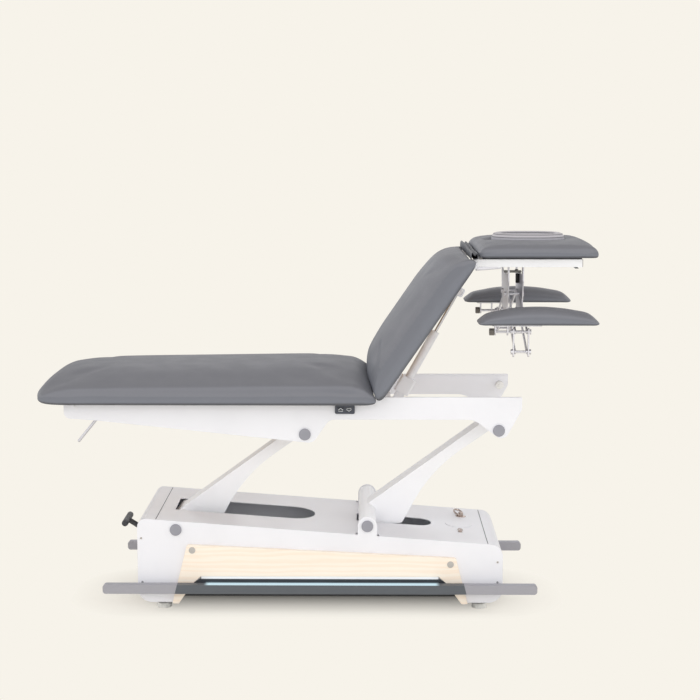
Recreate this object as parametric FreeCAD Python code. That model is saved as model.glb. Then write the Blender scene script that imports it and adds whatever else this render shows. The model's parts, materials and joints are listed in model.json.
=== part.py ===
import FreeCAD
import Part
import math
import os

# Pads. All lengths in millimetres, the floor at zero, the head end towards +X.
mattress_width = 640.0
pad_depth = 88.0
pad_corner_radius = 38.0
pad_roll = 32.0
pad_widest_share = 0.3
pad_slant_start = 0.18
pad_crown = 5.0
pad_crown_inset = 95.0
leg_pad_length = 1064.0
leg_pad_head_slant = 40.0
leg_pad_foot_slant = 2.0
leg_pad_foot_corner = 105.0
leg_pad_thinning = 14.0
leg_pad_recess_end = 78.0
back_pad_length = 521.5
back_pad_end_slant = 34.0
back_pad_top_slant = 22.0
pad_gap = 15.0
pad_rim_drop = 17.5
board_thickness = 12.0
recess_clearance = 8.0
leg_board_end = 20.0
back_board_start = 20.0
back_board_inset = 30.0

# Heights at the photographed lift position.
frame_top = 699.0
hinge_below_top = 9.0
back_angle = 55.5

# Head section, measured from its hinge.
head_axis_along = 517.0
head_axis_below = 6.0
head_pad_start = 16.0
head_pad_length = 370.0
head_pad_width = 560.0
head_pad_depth = 41.0
head_pad_corner = 42.0
head_pad_low_nose = 16.0
head_pad_high_nose = 4.0
head_pad_roll = 17.0
head_pad_crown = 5.0
head_crown_inset = 40.0
head_pad_above = 24.0
head_rail_height = 24.0
head_rail_width = 20.0
head_rail_drop = 5.0
head_rail_length = 335.0
head_frame_width = 510.0
head_board_thickness = 10.0
head_board_start = 40.0
head_board_inset = 10.0
head_member_start = 30.0
head_eye_radius = 11.0
head_bolt_radius = 6.0
head_bolt_head_radius = 12.0
face_ring_length = 236.0
face_ring_width = 190.0
face_ring_height = 32.0
face_ring_seat = 9.0
face_ring_wall = 30.0
face_round_share = 0.45
face_centre_along = 191.0
strap_start = -13.0
strap_span = 27.0
strap_height = 26.0
strap_wall = 3.5
strap_width = 580.0
strap_round_share = 0.48
strap_free_share = 0.38

# Lift: two parallel arms.
arm_length = 516.4
arm_angle = 37.07
arm_width = 90.0
arm_wall = 4.0
foot_pivot_behind = 640.0
foot_pivot_height = 269.4
pivot_spacing = 609.0
pivot_rise = 13.0
arm_top_low = 23.0
arm_top_high = 12.0
arm_hub_radius = 29.0
arm_tip_radius = 24.0
heel_along = 68.0
heel_below = 98.0
heel_corner = 14.0
belly_along = 250.0
belly_below = 13.7
belly_radius = 500.0
arm_upper_hub_radius = 21.0
arm_hub_round_share = 0.8
arm_tip_round_share = 0.9
shaft_radius = 12.0
bush_radius = 16.0
bush_length = 26.0
fit_clearance = 0.05
open_pivot_clearance = 0.4
rest_gap = 0.3
side_room = 1.0
hub_gap = 0.5
pivot_cap_radius = 18.5
pivot_cap_thickness = 6.0
cross_tube_radius = 28.0
foot_tube_radius = 22.0
crank_length = 104.0
crank_lean = 2.4
crank_swing = 34.6
crank_pin_radius = 8.0
crank_end_radius = 15.0
yoke_slack = 1.8
yoke_wall = 8.0
yoke_half_width = 18.0
lift_rod_radius = 10.0
lift_rod_length = 200.0
motor_tube_behind = 505.0
motor_neck_behind = 350.0
motor_end_behind = 190.0
motor_tube_radius = 20.0
motor_half_width = 42.0
motor_half_height = 36.0
motor_corner = 12.0
motor_post_wall = 8.0

# Base.
base_width = 480.0
base_wall = 4.0
cover_wall = 3.0
base_bottom = 33.0
base_arch_top = 66.0
base_foot_behind = 763.0
base_head_ahead = 400.0
cover_foot_inset = 57.5
cover_foot_height = 302.0
cover_head_inset = 46.4
cover_head_height = 224.0
base_corner_low = 44.0
base_corner_foot = 26.0
base_corner_head = 40.0
seam_gap = 1.2
ear_radius = 30.5
ear_slit = 7.0
ear_slit_length = 22.0
slot_foot_start = 660.0
slot_foot_end = 205.0
slot_foot_width = 172.0
slot_head_start = 66.0
slot_head_end = 181.0
slot_head_width = 105.0
slot_tip_share = 0.45
slot_corner_share = 0.08
service_cover_along = 272.0
service_cover_radius = 44.0
service_hole_radius = 36.0
service_cover_proud = 2.0
foot_pad_radius = 24.5
foot_pad_height = 18.0
foot_pad_fillet = 3.0
foot_stem_radius = 7.0
foot_inset_foot = 75.0
foot_inset_head = 69.0
foot_inset_side = 64.0
chassis_tube_width = 40.0
chassis_tube_height = 50.0
chassis_inset = 46.0
chassis_bottom = 36.0
chassis_beam = 14.0
chassis_tube_outer = 180.0
floor_wall = 3.0

# Wood side panels.
wood_thickness = 14.0
wood_top_foot_behind = 604.0
wood_top_foot_height = 224.0
wood_top_head_ahead = 250.0
wood_top_head_height = 182.0
wood_leg_foot_behind = 652.0
wood_leg_head_ahead = 289.0
wood_leg_bottom = 32.0
wood_leg_width = 20.0
wood_lower_edge = 121.5
wood_notch_foot_behind = 560.0
wood_notch_head_ahead = 196.0
wood_knee_height = 100.0
wood_knee_reach = 24.0
wood_corner_radius = 9.0
led_height = 6.5
led_depth = 5.0
led_bottom = 95.0
led_foot_behind = 545.0
led_head_ahead = 195.0

# Foot control bars.
bar_foot_behind = 868.0
bar_head_ahead = 505.0
bar_height = 29.0
bar_depth = 28.0
bar_bottom = 73.0
bar_corner = 8.0
bar_gap = 5.5
bar_arm_width = 30.0
bar_arm_height = 8.0
bar_arm_room = 5.0
bar_pivot_inset = 40.0
bar_pivot_radius = 6.0
bar_hub_radius = 11.0
bar_lug_wall = 6.0
bar_arm_shares = (0.25, 0.5, 0.75)

# Pedal lever at the foot end.
pedal_rod_radius = 8.5
pedal_grip_radius = 10.5
pedal_grip_length = 130.0
pedal_reach = 105.0
pedal_angle = 32.5
pedal_hub_behind = 740.0
pedal_hub_height = 190.0
pedal_hub_radius = 15.0
pedal_hub_length = 60.0
pedal_shaft_radius = 8.0
pedal_post_width = 26.0
pedal_post_wall = 6.0
pedal_post_foot = 70.0

# Upper frame.
frame_width = 508.0
frame_wall = 4.0
frame_lip = 12.0
frame_head_ahead = 453.0
frame_head_height = 661.0
frame_foot_behind = 985.0
frame_foot_bottom = 631.0
frame_foot_knee_behind = 884.0
frame_foot_knee = 624.0
frame_belly = 628.0
frame_head_radius = 12.0
frame_foot_radius = 20.0
frame_knee_radius = 60.0
frame_small_corner = 3.0
lobe_foot_ahead = 25.0
lobe_foot_below = 28.0
lobe_foot_radius = 27.0
lobe_head_ahead = 16.0
lobe_head_below = 36.0
lobe_head_radius = 24.0
arch_foot_ahead = 77.0
arch_foot_radius = 34.0
arch_head_ahead = 303.0
arch_head_radius = 60.0
cross_member_width = 40.0
cross_member_height = 36.0
cross_member_wall = 3.0
cross_member_top = 676.0
cross_member_behind = (905.0, 500.0, 190.0)
strut_member_top = 672.0
strut_member_width = 24.0
strut_member_height = 40.0
strut_lug_reach = 18.0
hinge_pin_radius = 7.0
hinge_head_radius = 10.0
hinge_head_length = 3.0
buffer_ahead = 422.0
buffer_radius = 13.4
buffer_pin_radius = 5.0
control_behind = 102.0
control_length = 62.0
control_height = 27.0
control_depth = 12.0
control_top = 675.0
control_corner = 5.0
button_width = 18.0
button_height = 13.0
button_proud = 1.5
button_travel = 1.0
button_depth = 5.0
button_corner = 2.0
button_spacing = 26.0
foot_lever_radius = 4.5
foot_lever_behind = 869.0
foot_lever_top = 646.0
foot_lever_length = 125.0
foot_lever_angle = 50.7
foot_lever_hub = 9.0
foot_lever_inset = 52.0
foot_lever_hub_length = 20.0
foot_lever_stud = 5.0

# Back section frame and strut.
back_rail_width = 22.0
back_rail_height = 20.0
back_rail_top = 9.0
back_rail_outer = 232.0
back_rail_overhang = 12.0
back_rail_corner = 6.0
back_cross_height = 12.0
back_cross_width = 30.0
back_cross_shares = (0.07, 0.42, 0.93)
strut_low_along = 62.0
strut_low_below = 45.0
strut_high_along = 412.9
strut_high_below = 38.4
strut_tube_radius = 14.0
strut_tube_wall = 3.0
strut_tube_length = 265.0
strut_rod_radius = 5.0
strut_pin_radius = 6.0
strut_eye_wall = 5.0
strut_eye_width = 16.0
strut_slack_along = 3.6
strut_slack_across = 7.4
strut_lug_wall = 5.0
strut_lug_radius = 12.0
strut_side_gap = 1.0
strut_foot_radius = 15.0
strut_housing_start = 34.0
strut_housing_length = 56.0
strut_housing_depth = 50.0
strut_housing_width = 34.0
strut_housing_corner = 8.0
strut_gland_length = 10.0
strut_rod_start = 190.0
strut_piston_length = 14.0

# Arm rests, measured from the head hinge.
hanger_first = 118.0
hanger_second = 164.0
hanger_wall = 4.0
hanger_leg_outer = 125.0
hanger_leg_inner = 95.0
hanger_leg_length = 43.0
hanger_bottom = 192.0
hanger_foot_half = 85.0
hanger_shoulder = 62.0
hanger_corner = 12.0
link_inner_wide = 60.0
link_outer_wide = 310.0
link_inner_below = 107.0
link_outer_below = 200.0
link_spacing = 62.0
link_width = 14.0
link_wall = 4.0
link_side_gap = 1.0
link_pin_radius = 4.0
link_round_share = 0.9
pin_head_radius = 8.0
pin_head_length = 6.0
carrier_width = 16.0
carrier_above = 12.0
carrier_below = 16.0
carrier_corner = 6.0
tilt_rod_start = 50.0
tilt_knob_length = 15.0
tilt_knob_radius = 11.0
knob_flutes = 6
tilt_plate_first = 61.0
tilt_plate_second = 99.0
tilt_plate_wall = 4.0
tilt_plate_width = 22.0
arm_pad_start = 6.0
arm_pad_length = 368.0
arm_pad_width = 140.0
arm_pad_depth = 46.0
arm_pad_bottom = 170.0
arm_pad_inner = 272.0
arm_pad_corner = 34.0
arm_pad_roll = 15.0
arm_pad_crown = 4.0
arm_crown_inset = 20.0
arm_pad_low_nose = 46.0
arm_pad_high_nose = 38.0
arm_plate_start = 50.0
arm_plate_length = 150.0
arm_plate_width = 80.0
arm_plate_wall = 5.0
arm_plate_corner = 8.0

# Places that follow from the sizes above.
sine = math.sin(math.radians(back_angle))
cosine = math.cos(math.radians(back_angle))
hinge_z = frame_top - hinge_below_top
head_rise_x = head_axis_along * cosine + head_axis_below * sine
head_rise_z = head_axis_along * sine - head_axis_below * cosine
foot_reach = pad_gap / 2 + leg_pad_length
head_reach = head_rise_x + head_pad_start + head_pad_length
hinge_x = (foot_reach - head_reach) / 2
head_x = hinge_x + head_rise_x
head_z = hinge_z + head_rise_z
pad_bottom = frame_top - pad_rim_drop
board_top = frame_top + board_thickness
half_base = base_width / 2
half_frame = frame_width / 2
arm_dx = arm_length * math.cos(math.radians(arm_angle))
arm_dz = arm_length * math.sin(math.radians(arm_angle))
foot_pivot_x = hinge_x - foot_pivot_behind
head_pivot_x = foot_pivot_x + pivot_spacing
head_pivot_height = foot_pivot_height + pivot_rise
cover_foot_behind = base_foot_behind - cover_foot_inset
cover_head_ahead = base_head_ahead - cover_head_inset
cover_slope = (cover_foot_height - cover_head_height) / (cover_foot_behind + cover_head_ahead)
bar_face = half_base + wood_thickness + bar_gap
bar_pivot_z = bar_bottom + bar_height / 2
bar_pivot_y = half_base - bar_pivot_inset
lift_rod_height = foot_pivot_height - crank_length * (1 + math.cos(math.radians(crank_swing))) / 2
strut_foot = (hinge_x + strut_low_along, hinge_z - strut_low_below)
strut_head = (
    hinge_x + strut_high_along * cosine + strut_high_below * sine,
    hinge_z + strut_high_along * sine - strut_high_below * cosine,
)


def vec(x, y, z):
    return FreeCAD.Vector(x, y, z)


def cover_height(x):
    """Height of the sloping base cover's outer face at x."""
    return cover_foot_height - (x - hinge_x + cover_foot_behind) * cover_slope


def side_view(y):
    return lambda p: vec(p.x, y, p.y)


def plan_view(z, slope=0.0, level_x=0.0):
    return lambda p: vec(p.x, p.y, z + (p.x - level_x) * slope)


def end_view(x):
    return lambda p: vec(x, p.x, p.y)


def outline(corners, place):
    """Closed wire through (u, w, radius) corners, each radius a tangent arc."""
    spots = []
    for i, (u, w, radius) in enumerate(corners):
        here = vec(u, w, 0)
        if radius == 0:
            spots.append((here, None, here))
            continue
        last = corners[i - 1]
        following = corners[(i + 1) % len(corners)]
        back = (vec(last[0], last[1], 0) - here).normalize()
        ahead = (vec(following[0], following[1], 0) - here).normalize()
        half = back.getAngle(ahead) / 2
        inward = (back + ahead).normalize()
        centre = here + inward * (radius / math.sin(half))
        reach = radius / math.tan(half)
        spots.append((here + back * reach, centre - inward * radius, here + ahead * reach))
    edges = []
    for i, (start, middle, end) in enumerate(spots):
        if middle is not None:
            edges.append(Part.Arc(place(start), place(middle), place(end)).toShape())
        after = spots[(i + 1) % len(spots)][0]
        if (after - end).Length > fit_clearance:
            edges.append(Part.LineSegment(place(end), place(after)).toShape())
    return Part.Wire(edges)


def drawn_in(corners, amount):
    """The same outline moved inward by amount, its corners listed with the inside on their left."""
    moved = []
    for i, (u, w, radius) in enumerate(corners):
        here = vec(u, w, 0)
        last = corners[i - 1]
        following = corners[(i + 1) % len(corners)]
        arriving = (here - vec(last[0], last[1], 0)).normalize()
        leaving = (vec(following[0], following[1], 0) - here).normalize()
        inward = vec(-arriving.y - leaving.y, arriving.x + leaving.x, 0)
        spot = here + inward * (amount / (1 + arriving.dot(leaving)))
        left_turn = arriving.x * leaving.y - arriving.y * leaving.x
        if radius > 0:
            radius = max(radius - math.copysign(amount, left_turn), 0)
        moved.append((spot.x, spot.y, radius))
    return moved


def side_plate(corners, y, thickness):
    return Part.Face(outline(corners, side_view(y))).extrude(vec(0, thickness, 0))


def flat_plate(corners, z, thickness):
    return Part.Face(outline(corners, plan_view(z))).extrude(vec(0, 0, thickness))


def end_plate(corners, x, thickness):
    return Part.Face(outline(corners, end_view(x))).extrude(vec(thickness, 0, 0))


def block(x0, x1, y0, y1, z0, z1):
    return Part.makeBox(x1 - x0, y1 - y0, z1 - z0, vec(x0, y0, z0))


def across(x, z, radius, y0, y1):
    """Round bar along Y."""
    return Part.makeCylinder(radius, y1 - y0, vec(x, y0, z), vec(0, 1, 0))


def along(x0, x1, y, z, radius):
    """Round bar along X."""
    return Part.makeCylinder(radius, x1 - x0, vec(x0, y, z), vec(1, 0, 0))


def upright(x, y, radius, z0, z1):
    return Part.makeCylinder(radius, z1 - z0, vec(x, y, z0), vec(0, 0, 1))


def mirrored(shape):
    return shape.mirror(vec(0, 0, 0), vec(0, 1, 0))


def both_sides(shape):
    return [shape, mirrored(shape)]


def fuse(shapes):
    return shapes[0].multiFuse(shapes[1:]).removeSplitter()


def rounded_rims(shape, radius):
    """Fillets the circular edges of a round piece."""
    return shape.makeFillet(radius, [edge for edge in shape.Edges if isinstance(edge.Curve, Part.Circle)])


def raised(shape):
    """Turns a piece of the back section, drawn flat, to the photographed angle."""
    turned = shape.copy()
    turned.rotate(vec(hinge_x, 0, hinge_z), vec(0, 1, 0), -back_angle)
    return turned


def save(name, shapes):
    solids = shapes if isinstance(shapes, list) else [shapes]
    pieces = [solid for shape in solids for solid in shape.Solids]
    whole = pieces[0] if len(pieces) == 1 else Part.makeCompound(pieces)
    whole.exportStep("parts/" + name + ".step")


# Rounded section of the face ring: height share, then the share of its wall by which it draws in.
face_roll_shares = ((0.0, 0.1), (0.35, 0.0), (0.7, 0.1), (0.9, 0.28), (1.0, 0.5))

# Rolled edges of a pad: height share, then the share of the roll by which its outline draws in.
pad_roll_shares = (
    (0.0, 0.5), (0.05, 0.22), (0.14, 0.06), (pad_widest_share, 0.0), (0.46, 0.05),
    (0.62, 0.18), (0.76, 0.4), (0.87, 0.7), (0.95, 1.04), (1.0, 1.4),
)


def cushion(x0, x1, y0, y1, z0, depth, corner, roll, crown, crown_inset, low_nose=0.0, high_nose=0.0,
            low_corner=None, thinning=0.0):
    """Padded block with a drawn-in lower rim, a rolled top edge and a crown; it may thin to its low end."""
    if low_corner is None:
        low_corner = corner
    rings = []
    for height_share, inset_share in pad_roll_shares:
        inset = roll * inset_share
        slant = max(height_share - pad_slant_start, 0) / (1 - pad_slant_start)
        low = x0 + inset + low_nose * slant
        high = x1 - inset - high_nose * slant
        rings.append((low, high, y0 + inset, y1 - inset, z0 + depth * height_share, thinning * height_share))
    top = rings[-1]
    rings.append((top[0] + crown_inset, top[1] - crown_inset, top[2] + crown_inset, top[3] - crown_inset,
                  z0 + depth + crown, thinning))
    wires = []
    for low, high, near, far, z, drop in rings:
        widest = (far - near) / 3
        low_radius = min(low_corner, widest)
        high_radius = min(corner, widest)
        corners = ((low, near, low_radius), (high, near, high_radius), (high, far, high_radius),
                   (low, far, low_radius))
        wires.append(outline(corners, plan_view(z, drop / (x1 - x0), x1)))
    return Part.makeLoft(wires, True, True)


# Base

def base_corners():
    low = hinge_x - base_foot_behind
    high = hinge_x + base_head_ahead
    return [
        (low, base_bottom, base_corner_low),
        (high, base_bottom, base_corner_low),
        (high, cover_height(high), base_corner_head),
        (low, cover_height(low), base_corner_foot),
    ]


def bar_arm_places():
    length = bar_foot_behind + bar_head_ahead
    return [hinge_x - bar_foot_behind + length * share for share in bar_arm_shares]


def base_arch():
    """Opening under the foot bar, its ends in line with the inner edges of the wood panel's legs."""
    foot_low = hinge_x - wood_leg_foot_behind + wood_leg_width
    foot_reach = wood_leg_foot_behind - wood_leg_width - wood_notch_foot_behind - wood_knee_reach
    head_low = hinge_x + wood_leg_head_ahead - wood_leg_width
    head_reach = wood_leg_head_ahead - wood_leg_width - wood_notch_head_ahead - wood_knee_reach
    low_share = (base_bottom - wood_leg_bottom) / (wood_knee_height - wood_leg_bottom)
    top_share = (base_arch_top - wood_leg_bottom) / (wood_knee_height - wood_leg_bottom)
    corners = ((foot_low + foot_reach * low_share, base_bottom, 0),
               (head_low - head_reach * low_share, base_bottom, 0),
               (head_low - head_reach * top_share, base_arch_top, 0),
               (foot_low + foot_reach * top_share, base_arch_top, 0))
    return side_plate(corners, -half_base, base_wall)


def base_side():
    """Near side plate with its raised ear, shaft holes, low arch and openings for the foot bar's arms."""
    plate = side_plate(base_corners(), -half_base, base_wall)
    ear = across(head_pivot_x, head_pivot_height, ear_radius, -half_base, -half_base + base_wall)
    neck = block(head_pivot_x - ear_radius, head_pivot_x + ear_radius, -half_base, -half_base + base_wall,
                 foot_pivot_height - ear_radius, head_pivot_height)
    plate = fuse([plate, ear, neck]).cut(base_arch())
    for x, z in ((foot_pivot_x, foot_pivot_height), (head_pivot_x, head_pivot_height)):
        plate = plate.cut(across(x, z, shaft_radius, -half_base, -half_base + base_wall))
    room = bar_arm_width / 2 + bar_arm_room
    for x in bar_arm_places():
        plate = plate.cut(block(x - room, x + room, -half_base, -half_base + base_wall,
                                bar_pivot_z - bar_arm_height / 2 - bar_arm_room,
                                bar_pivot_z + bar_arm_height / 2 + bar_arm_room))
    return plate


def cover_sheet(low, high, half_width, rise, thickness):
    """Flat sheet along the base's sloping top, its upper face rise above the cover's."""
    top_low = cover_height(low) + rise
    top_high = cover_height(high) + rise
    return side_plate(((low, top_low - thickness, 0), (high, top_high - thickness, 0),
                       (high, top_high, 0), (low, top_low, 0)), -half_width, 2 * half_width)


def arm_slot(start, end, width):
    """Opening through the top cover for a lift arm, its head end rounded."""
    tip = width * slot_tip_share
    corner = width * slot_corner_share
    half = width / 2
    corners = ((start, -half, corner), (end, -half, tip), (end, half, tip), (start, half, corner))
    return flat_plate(corners, base_bottom, cover_foot_height)


def top_cover():
    low = hinge_x - cover_foot_behind + seam_gap
    high = hinge_x + cover_head_ahead - seam_gap
    half = half_base - base_wall
    sheet = cover_sheet(low, high, half, 0, cover_wall)
    sheet = sheet.cut(arm_slot(hinge_x - slot_foot_start, hinge_x - slot_foot_end, slot_foot_width))
    sheet = sheet.cut(arm_slot(hinge_x - slot_head_start, hinge_x + slot_head_end, slot_head_width))
    x = hinge_x + service_cover_along
    sheet = sheet.cut(upright(x, 0, service_hole_radius, base_bottom, cover_foot_height))
    for side in (-1, 1):
        for edge in (-1, 1):
            x = head_pivot_x + edge * (ear_radius + ear_slit / 2)
            near, far = sorted((side * (half - ear_slit_length), side * half))
            x0 = x - ear_slit / 2
            sheet = sheet.cut(block(x0, x0 + ear_slit, near, far, base_bottom, cover_foot_height))
    return sheet


def service_cover():
    """Round lid that lies on the top cover, with a spigot in its hole."""
    x = hinge_x + service_cover_along
    low = x - service_cover_radius
    high = x + service_cover_radius
    lid = upright(x, 0, service_cover_radius, base_bottom, cover_foot_height)
    lid = lid.common(cover_sheet(low, high, service_cover_radius, service_cover_proud, service_cover_proud))
    spigot = upright(x, 0, service_hole_radius - rest_gap, base_bottom, cover_foot_height)
    spigot = spigot.common(cover_sheet(low, high, service_cover_radius, 0, cover_wall))
    return fuse([lid, spigot])


def end_covers():
    """Rounded foot and head covers between the side plates, from the seam down to the floor sheet."""
    half = half_base - base_wall
    shell = side_plate(base_corners(), -half, 2 * half)
    shell = shell.cut(side_plate(drawn_in(base_corners(), cover_wall), -half, 2 * half))
    outer_foot = hinge_x - base_foot_behind
    outer_head = hinge_x + base_head_ahead
    foot_seam = hinge_x - cover_foot_behind
    head_seam = hinge_x + cover_head_ahead
    foot = shell.common(block(outer_foot, foot_seam, -half, half, base_bottom, head_pivot_height * 2))
    head = shell.common(block(head_seam, outer_head, -half, half, base_bottom, cover_foot_height))
    rise = math.tan(math.radians(pedal_angle)) * (base_foot_behind - pedal_hub_behind)
    room = pedal_rod_radius * 2
    slit_half = pedal_rod_radius + side_room
    slit = block(outer_foot, outer_foot + base_corner_foot, -slit_half, slit_half,
                 pedal_hub_height - room, pedal_hub_height + rise + room)
    return foot.cut(slit), head


def bar_lugs(side):
    """Two lugs and a rod on a chassis tube for each arm of a foot bar."""
    outer = chassis_tube_outer
    inner = outer - chassis_tube_width
    top = chassis_bottom + chassis_tube_height
    reach = bar_pivot_y + bar_hub_radius
    parts = []
    for x in bar_arm_places():
        rod_half = bar_arm_width / 2 + side_room + bar_lug_wall
        parts.append(along(x - rod_half, x + rod_half, side * bar_pivot_y, bar_pivot_z, bar_pivot_radius))
        for x0 in (x - rod_half, x + rod_half - bar_lug_wall):
            near, far = sorted((side * inner, side * reach))
            parts.append(block(x0, x0 + bar_lug_wall, near, far, top, bar_pivot_z + bar_hub_radius))
            near, far = sorted((side * outer, side * reach))
            parts.append(block(x0, x0 + bar_lug_wall, near, far, bar_pivot_z - bar_hub_radius,
                               bar_pivot_z + bar_hub_radius))
    return parts


def chassis():
    """Welded tubes, beams and floor sheet that carry the side plates, the feet, the bars and the pedal."""
    low = hinge_x - base_foot_behind + chassis_inset
    high = hinge_x + base_head_ahead - chassis_inset
    inner = chassis_tube_outer - chassis_tube_width
    top = chassis_bottom + chassis_tube_height
    half = half_base - base_wall
    parts = [block(low, high, -inner, inner, chassis_bottom, chassis_bottom + floor_wall)]
    for side in (-1, 1):
        near, far = sorted((side * inner, side * chassis_tube_outer))
        tube = block(low, high, near, far, chassis_bottom, top)
        inner_near = near + floor_wall
        inner_far = far - floor_wall
        hollow = block(low, high, inner_near, inner_far, chassis_bottom + floor_wall, top - floor_wall)
        parts.append(tube.cut(hollow))
        parts.extend(bar_lugs(side))
        post_near = pedal_hub_length / 2 + side_room
        near, far = sorted((side * post_near, side * (post_near + pedal_post_wall)))
        x = hinge_x - pedal_hub_behind
        half_post = pedal_post_width / 2
        top_z = pedal_hub_height + half_post
        corner = half_post / 2
        corners = (
            (low, chassis_bottom, 0),
            (low + pedal_post_foot, chassis_bottom, 0),
            (x + half_post, top_z, corner),
            (x - half_post, top_z, corner),
            (x - half_post, pedal_hub_height - half_post, corner),
        )
        post = side_plate(corners, near, pedal_post_wall)
        parts.append(post.cut(across(x, pedal_hub_height, pedal_shaft_radius + fit_clearance, near, far)))
    for x in foot_places():
        parts.append(block(x - chassis_tube_width / 2, x + chassis_tube_width / 2, -half, half,
                           chassis_bottom, chassis_bottom + chassis_beam))
    return fuse(parts)


def foot_places():
    return hinge_x - base_foot_behind + foot_inset_foot, hinge_x + base_head_ahead - foot_inset_head


def levelling_feet():
    """Four rubber discs on short stems that screw up into the chassis beams."""
    feet = []
    for x in foot_places():
        for side in (-1, 1):
            y = side * (half_base - foot_inset_side)
            disc = rounded_rims(upright(x, y, foot_pad_radius, 0, foot_pad_height), foot_pad_fillet)
            feet.append(fuse([disc, upright(x, y, foot_stem_radius, foot_pad_height / 2, chassis_bottom)]))
    return feet


def wood_panel():
    """Near side panel: a board that narrows to two slanted legs round the light strip."""
    small = wood_corner_radius / 3
    corners = [
        (-wood_top_foot_behind, wood_top_foot_height, wood_corner_radius),
        (-wood_leg_foot_behind, wood_leg_bottom, small),
        (-wood_leg_foot_behind + wood_leg_width, wood_leg_bottom, small),
        (-wood_notch_foot_behind - wood_knee_reach, wood_knee_height, wood_corner_radius),
        (-wood_notch_foot_behind, wood_lower_edge, small),
        (wood_notch_head_ahead, wood_lower_edge, small),
        (wood_notch_head_ahead + wood_knee_reach, wood_knee_height, wood_corner_radius),
        (wood_leg_head_ahead - wood_leg_width, wood_leg_bottom, small),
        (wood_leg_head_ahead, wood_leg_bottom, small),
        (wood_top_head_ahead, wood_top_head_height, wood_corner_radius),
    ]
    placed = [(hinge_x + u, w, radius) for u, w, radius in corners]
    return side_plate(placed, -half_base - wood_thickness, wood_thickness)


def light_strip():
    return block(hinge_x - led_foot_behind, hinge_x + led_head_ahead, -half_base - led_depth, -half_base,
                 led_bottom, led_bottom + led_height)


def foot_bar():
    """Near control bar with three arms that rock on rods inside the base."""
    low = hinge_x - bar_foot_behind
    high = hinge_x + bar_head_ahead
    top = bar_bottom + bar_height
    corners = ((low, bar_bottom, bar_corner), (high, bar_bottom, bar_corner), (high, top, bar_corner),
               (low, top, bar_corner))
    parts = [side_plate(corners, -bar_face - bar_depth, bar_depth)]
    for x in bar_arm_places():
        parts.append(block(x - bar_arm_width / 2, x + bar_arm_width / 2, -bar_face, -bar_pivot_y,
                           bar_pivot_z - bar_arm_height / 2, bar_pivot_z + bar_arm_height / 2))
        x0 = x - bar_arm_width / 2
        parts.append(along(x0, x0 + bar_arm_width, -bar_pivot_y, bar_pivot_z, bar_hub_radius))
    bar = fuse(parts)
    for x in bar_arm_places():
        bar = bar.cut(along(x - bar_arm_width / 2, x + bar_arm_width / 2, -bar_pivot_y, bar_pivot_z,
                            bar_pivot_radius + fit_clearance))
    return bar


def pedal():
    """T-shaped pedal lever: hub and shaft inside the base, rod and grip outside."""
    x = hinge_x - pedal_hub_behind
    hub = across(x, pedal_hub_height, pedal_hub_radius, -pedal_hub_length / 2, pedal_hub_length / 2)
    shaft_half = pedal_hub_length / 2 + side_room + pedal_post_wall
    shaft = across(x, pedal_hub_height, pedal_shaft_radius, -shaft_half, shaft_half)
    rod = Part.makeCylinder(pedal_rod_radius, pedal_reach, vec(x, 0, pedal_hub_height), vec(-1, 0, 0))
    half_grip = pedal_grip_length / 2
    grip = across(x - pedal_reach, pedal_hub_height, pedal_grip_radius, -half_grip, half_grip)
    grip = rounded_rims(grip, pedal_grip_radius / 3)
    for piece in (rod, grip):
        piece.rotate(vec(x, 0, pedal_hub_height), vec(0, 1, 0), pedal_angle)
    return fuse([hub, shaft, rod, grip])


def pivot_caps(places, y):
    """Round caps on both outer faces over the shaft ends."""
    caps = []
    for x, z in places:
        cap = across(x, z, pivot_cap_radius, -y - pivot_cap_thickness, -y)
        caps.extend(both_sides(rounded_rims(cap, pivot_cap_thickness / 4)))
    return caps


# Lift

def lift_motor():
    """Motor housing and guide tube bolted to the chassis floor, the tube's bore open to the foot end."""
    low = hinge_x - motor_tube_behind
    neck = hinge_x - motor_neck_behind
    high = hinge_x - motor_end_behind
    tube = along(low, neck, 0, lift_rod_height, motor_tube_radius)
    housing = end_plate(((-motor_half_width, lift_rod_height - motor_half_height, motor_corner),
                         (motor_half_width, lift_rod_height - motor_half_height, motor_corner),
                         (motor_half_width, lift_rod_height + motor_half_height, motor_corner),
                         (-motor_half_width, lift_rod_height + motor_half_height, motor_corner)),
                        neck, high - neck)
    bore = along(low, neck, 0, lift_rod_height, lift_rod_radius + fit_clearance)
    floor = chassis_bottom + floor_wall
    parts = [tube, housing]
    for x in (low, neck, high - motor_post_wall):
        parts.append(block(x, x + motor_post_wall, -motor_half_width, motor_half_width, floor,
                           lift_rod_height))
    return fuse(parts).cut(bore)


def lift_rod():
    """Push rod with a slotted yoke round the crank's pin."""
    pin_x = foot_pivot_x - crank_length * math.sin(math.radians(crank_lean))
    slot_half_x = crank_pin_radius + yoke_slack
    pin_rise = crank_length * (1 - math.cos(math.radians(crank_swing))) / 2
    slot_half_z = crank_pin_radius + yoke_slack + pin_rise
    yoke_half_x = slot_half_x + yoke_wall
    yoke_half_z = slot_half_z + yoke_wall
    yoke = block(pin_x - yoke_half_x, pin_x + yoke_half_x, -yoke_half_width, yoke_half_width,
                 lift_rod_height - yoke_half_z, lift_rod_height + yoke_half_z)
    slot = side_plate(((pin_x - slot_half_x, lift_rod_height - slot_half_z, crank_pin_radius),
                       (pin_x + slot_half_x, lift_rod_height - slot_half_z, crank_pin_radius),
                       (pin_x + slot_half_x, lift_rod_height + slot_half_z, crank_pin_radius),
                       (pin_x - slot_half_x, lift_rod_height + slot_half_z, crank_pin_radius)),
                      -yoke_half_width, 2 * yoke_half_width)
    start = pin_x + slot_half_x + yoke_wall
    rod = along(start, start + lift_rod_length, 0, lift_rod_height, lift_rod_radius)
    return fuse([yoke.cut(slot), rod])


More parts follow.
